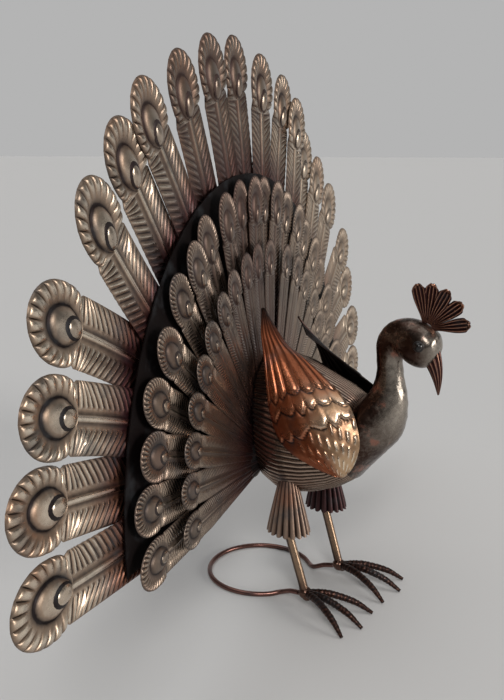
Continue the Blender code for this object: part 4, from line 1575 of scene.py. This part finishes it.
@dataclass
class Wings(SubAssembly):
    """The two folded wings."""

    stations: tuple[tuple[float, ...], ...] = (
        # front edge x, side, z, then rear edge x, side, z, from the lower end to the tip
        (0.0810, 0.0262, 0.0912, 0.0791, 0.0285, 0.0913),
        (0.0858, 0.0250, 0.0980, 0.0719, 0.0315, 0.0929),
        (0.0883, 0.0235, 0.1086, 0.0613, 0.0335, 0.0968),
        (0.0861, 0.0215, 0.1169, 0.0506, 0.0345, 0.1014),
        (0.0804, 0.0190, 0.1273, 0.0420, 0.0348, 0.1090),
        (0.0713, 0.0165, 0.1350, 0.0360, 0.0342, 0.1227),
        (0.0601, 0.0142, 0.1420, 0.0322, 0.0322, 0.1358),
        (0.0472, 0.0127, 0.1495, 0.0280, 0.0285, 0.1509),
        (0.0339, 0.0122, 0.1568, 0.0211, 0.0215, 0.1652),
        (0.0173, 0.0128, 0.1768, 0.0168, 0.0136, 0.1768),
    )
    scallops: tuple[Scallops, ...] = (
        Scallops(0.425, 0.032, 5.0, 0.35, 0.010),
        Scallops(0.525, 0.030, 6.0, 0.10, 0.030),
        Scallops(0.605, 0.026, 6.0, 0.20, 0.010),
    )
    bulge: float = 0.0050
    left_bulge: float = 0.3  # the left wing's bulge, as a share of the right one's
    axis_z: float = 0.105
    left_tip_share: float = 0.15
    step: float = 0.0011
    gap_depth: float = 0.0005
    dash_columns: float = 11.0
    dash_rows: float = 10.0
    dash_height: float = 0.0006

    def relief(self, t: Array, u: Array) -> tuple[Array, Array]:
        """Return the stamped height in metres and the relief number.

        Args:
            t: Share from the lower end to the tip.
            u: Share from the front edge to the rear edge.

        Returns:
            Heights and relief numbers.
        """
        column = (u + 0.30 * t) * self.dash_columns
        row = t * self.dash_rows + 0.5 * (np.floor(column) % 2) + 0.17 * np.floor(column)
        dash = bell(column % 1.0, 0.5, 0.17) * smooth_step(0.10, 0.30, row % 1.0) * (
            1.0 - smooth_step(0.70, 0.90, row % 1.0))
        dash = dash * (1.0 - smooth_step(0.70, 0.90, u)) * smooth_step(0.02, 0.07, t)
        height = self.dash_height * dash
        shade = 0.52 + 0.45 * dash
        edges = [layer.line(u) for layer in self.scallops] + [np.full_like(u, 1.15)]
        for layer, edge, above in zip(self.scallops, edges, edges[1:]):
            lobe = 1.0 - np.abs(layer.offset(u)) ** 2.6
            ramp = np.clip((above - t) / (above - edge), 0.0, 1.0)
            rounded = 1.0 - np.exp(-np.clip(t - edge, 0.0, 1.0) / 0.007)
            fade = 1.0 if layer is self.scallops[-1] else 0.45
            raised = self.step * (0.30 + 0.70 * ramp ** 1.4) * rounded * (
                1.0 - fade * 0.85 * (1.0 - lobe))
            wear_and_painted_sheen = (0.50 + (0.20 if layer is self.scallops[-1] else 0.38) * ramp ** 2) * (
                1.0 - fade * 0.7 * (1.0 - smooth_step(0.0, 0.40, lobe)))
            # A dark line under each row's edge: patina in the groove, and painted shade under the
            # step.
            gap = bell(t, edge, 0.014)
            over = t >= edge
            height = np.where(over, raised, height - self.gap_depth * gap)
            shade = np.where(over, wear_and_painted_sheen, shade * (1.0 - 0.98 * gap))
        shade = shade * (1.0 - 0.75 * smooth_step(0.84, 0.97, t))
        edge_fade = np.clip(1.0 - (np.abs(2.0 * u - 1.0) - 0.93) / 0.07, 0.0, 1.0)
        return height * edge_fade, shade

    def make_wing(self, side: Side, name: str, node: str, tip_share: float) -> None:
        """Make one wing sheet.

        Args:
            side: The bird's side.
            name: The piece's name.
            node: The solid that it stands for.
            tip_share: How much of the last step to the tip is kept.
        """
        table = np.array(self.stations)
        table[-1] = table[-2] + (table[-1] - table[-2]) * tip_share

        def lay(u: Array, v: Array) -> Surface:
            """Lay the wing.

            Args:
                u: Shares from the front edge to the rear.
                v: Shares from the low end to the tip.

            Returns:
                Its surface.
            """
            edges = through(table, v).T
            x, y, z = (front + (rear - front) * u for front, rear in zip(edges[:3], edges[3:]))
            out_z = z - self.axis_z
            length = np.hypot(y, out_z)
            height, shade = self.relief(v, u)
            share = 1.0 if side is Side.RIGHT else self.left_bulge
            bulge = self.bulge * share * np.sqrt(np.clip(np.sin(math.pi * v), 0.0, 1.0))
            lift = SHEET + bulge * (1.0 - (u * 2.0 - 1.0) ** 2) + height
            y = side.value * (y + y / length * lift)
            z = z + out_z / length * lift
            brass = (1.0 - smooth_step(0.28, 0.66, u)) * (1.0 - smooth_step(0.42, 0.66, v))
            # The left wing's face darkens towards its front edge: painted shade.
            if side is Side.LEFT:
                shade = shade * smooth_step(0.30, 0.70, u)
            return Surface(bird_points(x, y, z), shade, brass)

        wing = self.shop.grid(84, 128, lay)
        self.shop.face(wing, bird_way(0.0, side.value, 0.3))
        self.shop.thicken(wing, SHEET, lined=True)
        # The far side is lined with the near-black painted shade.
        self.shop.finish(wing, name, self.finishes.wing, Slot.COPPER, [node],
                         lining=self.finishes.painted_shade_black)

    def make(self) -> None:
        """Make both wings."""
        self.make_wing(Side.RIGHT, "folded_wing_right", "wing_right", 1.0)
        self.make_wing(Side.LEFT, "folded_wing_left", "wing_left", self.left_tip_share)


@dataclass
class Legs(SubAssembly):
    """Thigh skirts, rod legs and welded feet."""

    skirt_top: tuple[float, float, float] = (0.0410, 0.0220, 0.0790)
    skirt_bottom: tuple[float, float, float] = (0.0420, 0.0225, 0.0476)
    top_radius: float = 0.0054
    bottom_radius: float = 0.0130
    pleats: int = 18
    pleat_depth: float = 0.0003
    pleat_growth: float = 0.0014
    hem_scallop: float = 0.0012
    skirt_sheet: float = 0.0008
    skirt_flat: float = 0.86  # width of its section, as a share of the depth
    leg_top: tuple[float, float, float] = (0.0408, 0.0221, 0.0790)
    bend: tuple[float, float, float] = (0.0407, 0.0221, 0.0480)
    heel: tuple[float, float, float] = (0.0535, 0.0213, 0.0088)
    leg_radius: float = 0.0026
    heel_radius: float = 0.0040
    toe_radius: float = 0.0020
    toe_ends: tuple[tuple[float, float], ...] = (
        (0.0916, 0.0072), (0.0942, 0.0256), (0.0891, 0.0405))
    toe_stations: tuple[tuple[float, float, float], ...] = (
        # share of the way to the end, rise over the heel, share of the radius
        (0.0, 0.0, 1.05), (0.25, 0.0012, 1.1), (0.45, 0.0008, 1.05), (0.75, -0.0022, 0.92))
    blobs: tuple[tuple[float, float, float, float], ...] = (
        # place beside the heel and share of its radius
        (0.0, 0.0, 0.0, 1.0), (0.0016, 0.0010, -0.0014, 0.8), (-0.0012, -0.0012, 0.0008, 0.75))

    def make(self) -> None:
        """Make both sides."""
        for side in (Side.RIGHT, Side.LEFT):
            tag = side.name.lower()
            # The left skirt gets the darker copy: painted shade.
            finish = self.finishes.skirt if side is Side.RIGHT else self.finishes.shaded
            self.make_skirt(side, f"pleated_skirt_{tag}", f"skirt_{tag}", finish)
            self.make_leg(side, f"welded_leg_{tag}", f"leg_{tag}")

    def make_skirt(self, side: Side, name: str, node: str,
                   finish: bpy.types.Material) -> None:
        """Make one pleated cone with its scalloped hem.

        Args:
            side: The bird's side.
            name: The piece's name.
            node: The solid that it stands for.
            finish: Its material.
        """

        def lay(u: Array, v: Array) -> Surface:
            """Lay the skirt.

            Args:
                u: Shares round it.
                v: Shares from its top to its hem.

            Returns:
                Its surface.
            """
            wave = np.abs(np.sin(math.pi * u * self.pleats)) ** 0.75
            pleat = self.pleat_depth + self.pleat_growth * v
            radius = self.top_radius + (self.bottom_radius - self.top_radius) * v ** 0.92
            radius = radius + pleat * (wave - 0.6)
            x, y, z = (top + (bottom - top) * v
                       for top, bottom in zip(self.skirt_top, self.skirt_bottom))
            x = x + radius * np.cos(TURN * u)
            y = y + self.skirt_flat * radius * np.sin(TURN * u)
            z = z - self.hem_scallop * wave * smooth_step(0.9, 1.0, v)
            return Surface(bird_points(x, side.value * y, z), wave, v)

        skirt = self.shop.grid(self.pleats * 6, 14, lay)
        self.shop.weld(skirt, 0.00001)
        x, y, z = self.skirt_top
        away = self.shop.of_faces(skirt, "center", 3) - bird_point(x, side.value * y, z)
        self.shop.face(skirt, away * (1.0, 1.0, 0.0))
        self.shop.thicken(skirt, self.skirt_sheet)
        self.shop.finish(skirt, name, finish, Slot.DARK_BRASS, [node])

    def make_leg(self, side: Side, name: str, node: str) -> None:
        """Make one leg rod with its weld blob and three toes.

        Args:
            side: The bird's side.
            name: The piece's name.
            node: The solid that it stands for.
        """
        sign = np.array([1.0, side.value, 1.0])
        heel = np.array(self.heel) * sign
        path = [heel, np.array(self.bend) * sign, np.array(self.leg_top) * sign]
        parts = [Rod(path, [self.leg_radius] * 3, 20, 60, groove=0.22,
                     groove_at=math.radians(205.0), shade=0.75,
                     reach_by_height=True).make(self.shop)]
        place = bird_point(*heel)
        for dx, dy, dz, size in self.blobs:
            radius = self.heel_radius * size
            parts.append(self.shop.dab(
                place + np.array([dx, dy * side.value, dz]), (radius, radius, radius * 0.95),
                0.75, 0.0, 20, 14))
        for number, (end_x, end_y) in enumerate(self.toe_ends):
            end = np.array([end_x, side.value * end_y, self.toe_radius * 0.55])
            toe = [np.array([*(heel + (end - heel) * share)[:2], heel[2] + rise])
                   for share, rise, _ in self.toe_stations]
            radii = [self.toe_radius * size for _, _, size in self.toe_stations]
            parts.append(Rod(toe + [end], radii + [self.toe_radius * 0.5], 14, 80, bead=0.075,
                             bead_pitch=0.0024, phase=number * 1.3).make(self.shop))
        self.shop.finish(
            self.shop.join(parts), name, self.finishes.leg, Slot.DARK_BRASS, [node])


@dataclass
class Rod:
    """A rod or wire swept along a path: its path, its section and its surface."""

    path: Sequence[Array]
    radii: Sequence[float]
    columns: int
    rows: int
    groove: float = 0.0  # depth, as a share of the radius
    groove_at: float = 0.0
    groove_width: float = 0.28  # in radians
    bead: float = 0.0  # depth, as a share of the radius
    bead_pitch: float = 0.002
    phase: float = 0.0
    shade: float = 0.7
    reach_by_height: bool = False

    def runs(self, table: Array) -> Array:
        """Measure the way along rows of points.

        Args:
            table: One row for each point, starting with x, y and z.

        Returns:
            The length from the first point to each.
        """
        steps = np.linalg.norm(np.diff(table[:, :3], axis=0), axis=1)
        return np.concatenate([[0.0], np.cumsum(steps)])

    def make(self, shop: Workshop) -> bpy.types.Object:
        """Sweep the round section along the path, smooth where it has bends, and close it.

        Args:
            shop: The workshop.

        Returns:
            The closed rod.
        """
        table = np.column_stack([np.array(self.path), np.array(self.radii)])
        length = self.runs(table)[-1]
        if len(self.path) > 3:
            table = through(table, np.linspace(0.0, 1.0, 400))
        knots = self.runs(table)

        def line(share: Array) -> Array:
            """Return points of the path and their radii at shares of its length."""
            return np.stack([np.interp(share * knots[-1], knots, table[:, k])
                             for k in range(4)], axis=1)

        def lay(u: Array, v: Array) -> Surface:
            """Lay the rod.

            Args:
                u: Shares round it.
                v: Shares along it.

            Returns:
                Its surface.
            """
            row = np.round(v * self.rows)
            share = np.clip((row - 2) / (self.rows - 4), 0.0, 1.0)
            size = np.interp(row, (0, 1, 2, self.rows - 2, self.rows - 1, self.rows),
                             (0.0, 0.75, 1.0, 1.0, 0.75, 0.0))
            spot = line(share)
            ahead = line(np.clip(share + 0.004, 0.0, 1.0))[:, :3]
            behind = line(np.clip(share - 0.004, 0.0, 1.0))[:, :3]
            run = ahead - behind
            run = run / np.linalg.norm(run, axis=1, keepdims=True)
            upright = abs(run[:, 2]).mean() > 0.8
            up = np.array([1.0, 0.0, 0.0] if upright else [0.0, 0.0, 1.0])
            across = np.cross(run, up)
            across = across / np.linalg.norm(across, axis=1, keepdims=True)
            lift = np.cross(across, run)
            angle = TURN * u
            turn = share * length / self.bead_pitch * TURN + self.phase
            lumps = np.sin(turn + 1.3 * np.sin(angle * 2 + turn * 0.31)) * self.bead
            away = np.abs((angle - self.groove_at + math.pi) % TURN - math.pi)
            cut = bell(away, 0.0, self.groove_width)
            radius = spot[:, 3] * size * (1.0 + lumps - self.groove * cut)
            offset = across * np.cos(angle)[:, None] + lift * np.sin(angle)[:, None]
            place = spot[:, :3] + offset * radius[:, None]
            number = self.shade * (1.0 - 0.9 * cut * (self.groove > 0))
            if self.bead:
                number = self.shade * (0.55 + 0.45 * lumps / self.bead)
            reach = place[:, 2] if self.reach_by_height else np.zeros_like(u)
            return Surface(bird_points(*place.T), number, reach)

        return shop.shell(self.columns, self.rows, lay)


@dataclass
class Ring(SubAssembly):
    """The ground wire: an open ring whose ends bend up to the heels."""

    centre_x: float = 0.0067
    radius: float = 0.0331
    open_deg: float = 47.0
    wire: float = 0.0015
    arc_steps: int = 22
    end: tuple[tuple[float, float, float], ...] = (
        (0.0489, 0.0211, 0.0072), (0.0425, 0.0201, 0.0058), (0.0355, 0.0196, 0.0028))

    def make(self) -> None:
        """Make the wire from heel to heel."""
        half = [np.array(spot) for spot in self.end]
        span = TURN - 2 * math.radians(self.open_deg)
        arc = []
        for k in range(self.arc_steps + 1):
            angle = math.radians(self.open_deg) + span * k / self.arc_steps
            arc.append(np.array([self.centre_x + self.radius * math.cos(angle),
                                 self.radius * math.sin(angle), self.wire]))
        path = half + arc + [spot * np.array([1.0, -1.0, 1.0]) for spot in reversed(half)]
        wire = Rod(path, [self.wire] * len(path), 12, 180, shade=0.75).make(self.shop)
        self.shop.finish(wire, "ground_wire", self.finishes.ring, Slot.DARK_COPPER, ["base_ring"])


@dataclass(frozen=True)
class Lamp:
    """One soft sun-like light: where it shines from, its strength and how wide it looks."""

    name: str
    place: tuple[float, float, float]
    power: float
    width_deg: float
    colour: Colour


@dataclass
class Studio:
    """Pale floor, soft lights and the camera."""

    aim_azimuth_deg: float = 20.82
    pitch_deg: float = 13.35
    place: tuple[float, float, float] = (0.18087, -0.47551, 0.26814)
    focal_px: float = 844.5
    high_px: float = 700.0
    sensor_mm: float = 24.0
    floor_tone: Colour = (0.705, 0.705, 0.705)
    floor_cloud: Colour = (0.68, 0.68, 0.68)
    wall_tone: Colour = (0.456, 0.456, 0.456)
    room_tone: Colour = (0.11, 0.11, 0.11)
    lamps: tuple[Lamp, ...] = (
        Lamp("key_light", (1.0, -0.02, 0.24), 1.7, 28.0, (1.0, 0.97, 0.93)),
        Lamp("front_light", (0.30, -0.73, 0.61), 0.95, 17.0, (1.0, 0.98, 0.95)),
        Lamp("top_light", (-0.1, 0.0, 1.0), 0.80, 60.0, (1.0, 1.0, 1.0)),
    )

    def make(self) -> None:
        """Set up the stage."""
        bpy.context.scene.view_settings.view_transform = "Standard"
        self.make_floor()
        self.make_room()
        for lamp in self.lamps:
            self.make_lamp(lamp)
        self.make_camera()

    def make_floor(self) -> None:
        """Lay a plain pale floor."""
        bpy.ops.object.select_all(action="DESELECT")
        bpy.ops.mesh.primitive_plane_add(size=60.0, location=(0.0, 0.0, 0.0))
        floor = bpy.context.active_object
        floor.name = "floor"
        bench = Bench(bpy.data.materials.new("floor_paint"))
        tone = bench.blend(bench.noise(3.0, 2.0) * 0.1, self.floor_tone, self.floor_cloud)
        floor.data.materials.append(bench.close(Base_Color=tone, Roughness=0.9))

    def make_room(self) -> None:
        """Light the room: a pale wall behind the figurine and a dimmer room elsewhere."""
        bpy.context.scene.world = bpy.data.worlds.new("room")
        bench = Bench(bpy.context.scene.world)
        azimuth = math.radians(self.aim_azimuth_deg)
        sight = bench.node("ShaderNodeTexCoord").outputs["Generated"]
        facing = bench.node("ShaderNodeVectorMath", {"operation": "DOT_PRODUCT"}, {
            0: Wire(bench, sight), 1: (-math.sin(azimuth), math.cos(azimuth), 0.0)})
        wall = Wire(bench, facing.outputs["Value"]).between(0.55, 0.90)
        tone = bench.blend(wall, self.room_tone, self.wall_tone)
        glow = bench.node("ShaderNodeBackground", {}, {"Color": tone, "Strength": 1.0})
        bench.node("ShaderNodeOutputWorld", {}, {"Surface": Wire(bench, glow.outputs[0])})

    def hang(self, name: str, data: bpy.types.ID) -> bpy.types.Object:
        """Put a light or a camera into the scene.

        Args:
            name: Its name.
            data: Its settings.

        Returns:
            The object.
        """
        made = bpy.data.objects.new(name, data)
        bpy.context.scene.collection.objects.link(made)
        return made

    def make_lamp(self, lamp: Lamp) -> None:
        """Hang one soft sun that looks at the figurine.

        Args:
            lamp: The lamp.
        """
        data = bpy.data.lights.new(lamp.name, "SUN")
        data.energy = lamp.power
        data.angle = math.radians(lamp.width_deg)
        data.color = lamp.colour
        made = self.hang(lamp.name, data)
        made.location = lamp.place
        aim = -np.array(lamp.place)
        made.rotation_euler = (
            math.atan2(math.hypot(aim[0], aim[1]), -aim[2]), 0.0,
            math.atan2(aim[1], aim[0]) - math.pi / 2)

    def make_camera(self) -> None:
        """Place the camera as the photograph has it."""
        azimuth = math.radians(self.aim_azimuth_deg)
        pitch = math.radians(self.pitch_deg)
        ahead = np.array([-math.sin(azimuth) * math.cos(pitch),
                          math.cos(azimuth) * math.cos(pitch), -math.sin(pitch)])
        right = np.array([math.cos(azimuth), math.sin(azimuth), 0.0])
        up = np.cross(right, ahead)
        data = bpy.data.cameras.new("camera")
        data.sensor_fit = "VERTICAL"
        data.sensor_height = self.sensor_mm
        data.lens = self.focal_px / self.high_px * self.sensor_mm
        data.clip_start = 0.01
        camera = self.hang("camera", data)
        turn = Matrix((right, up, -ahead)).transposed()
        camera.matrix_world = Matrix.Translation(
            np.array(self.place) + SHIFT) @ turn.to_4x4()
        bpy.context.scene.camera = camera


def dress_plates(finishes: Finishes, shop: Workshop) -> None:
    """Give the hub_plate solid its dark finish and the backing_sheet solid its near-black painted
    shade.

    Args:
        finishes: The materials.
        shop: The workshop.
    """
    for node, finish in (("hub_plate", finishes.body), ("backing_sheet", finishes.painted_shade_black)):
        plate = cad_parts[node]
        shop.set_attribute(plate, "relief", 0.45)
        shop.set_attribute(plate, "reach", 0.5)
        plate.data.materials.clear()
        plate.data.materials.append(finish)


def main() -> None:
    """Build the sub-assemblies in order and report each piece."""
    logging.basicConfig(level=logging.INFO, format="%(message)s")
    shop = Workshop()
    finishes = Finishes()
    fan = Fan(shop, finishes)
    fan.make()
    Body(shop, finishes, fan).make()
    Neck(shop, finishes).make()
    Face(shop, finishes).make()
    Wings(shop, finishes).make()
    Legs(shop, finishes).make()
    Ring(shop, finishes).make()
    dress_plates(finishes, shop)
    Studio().make()
    LOG.info("%d pieces made", len(shop.made))


if __name__ == "__main__":
    main()
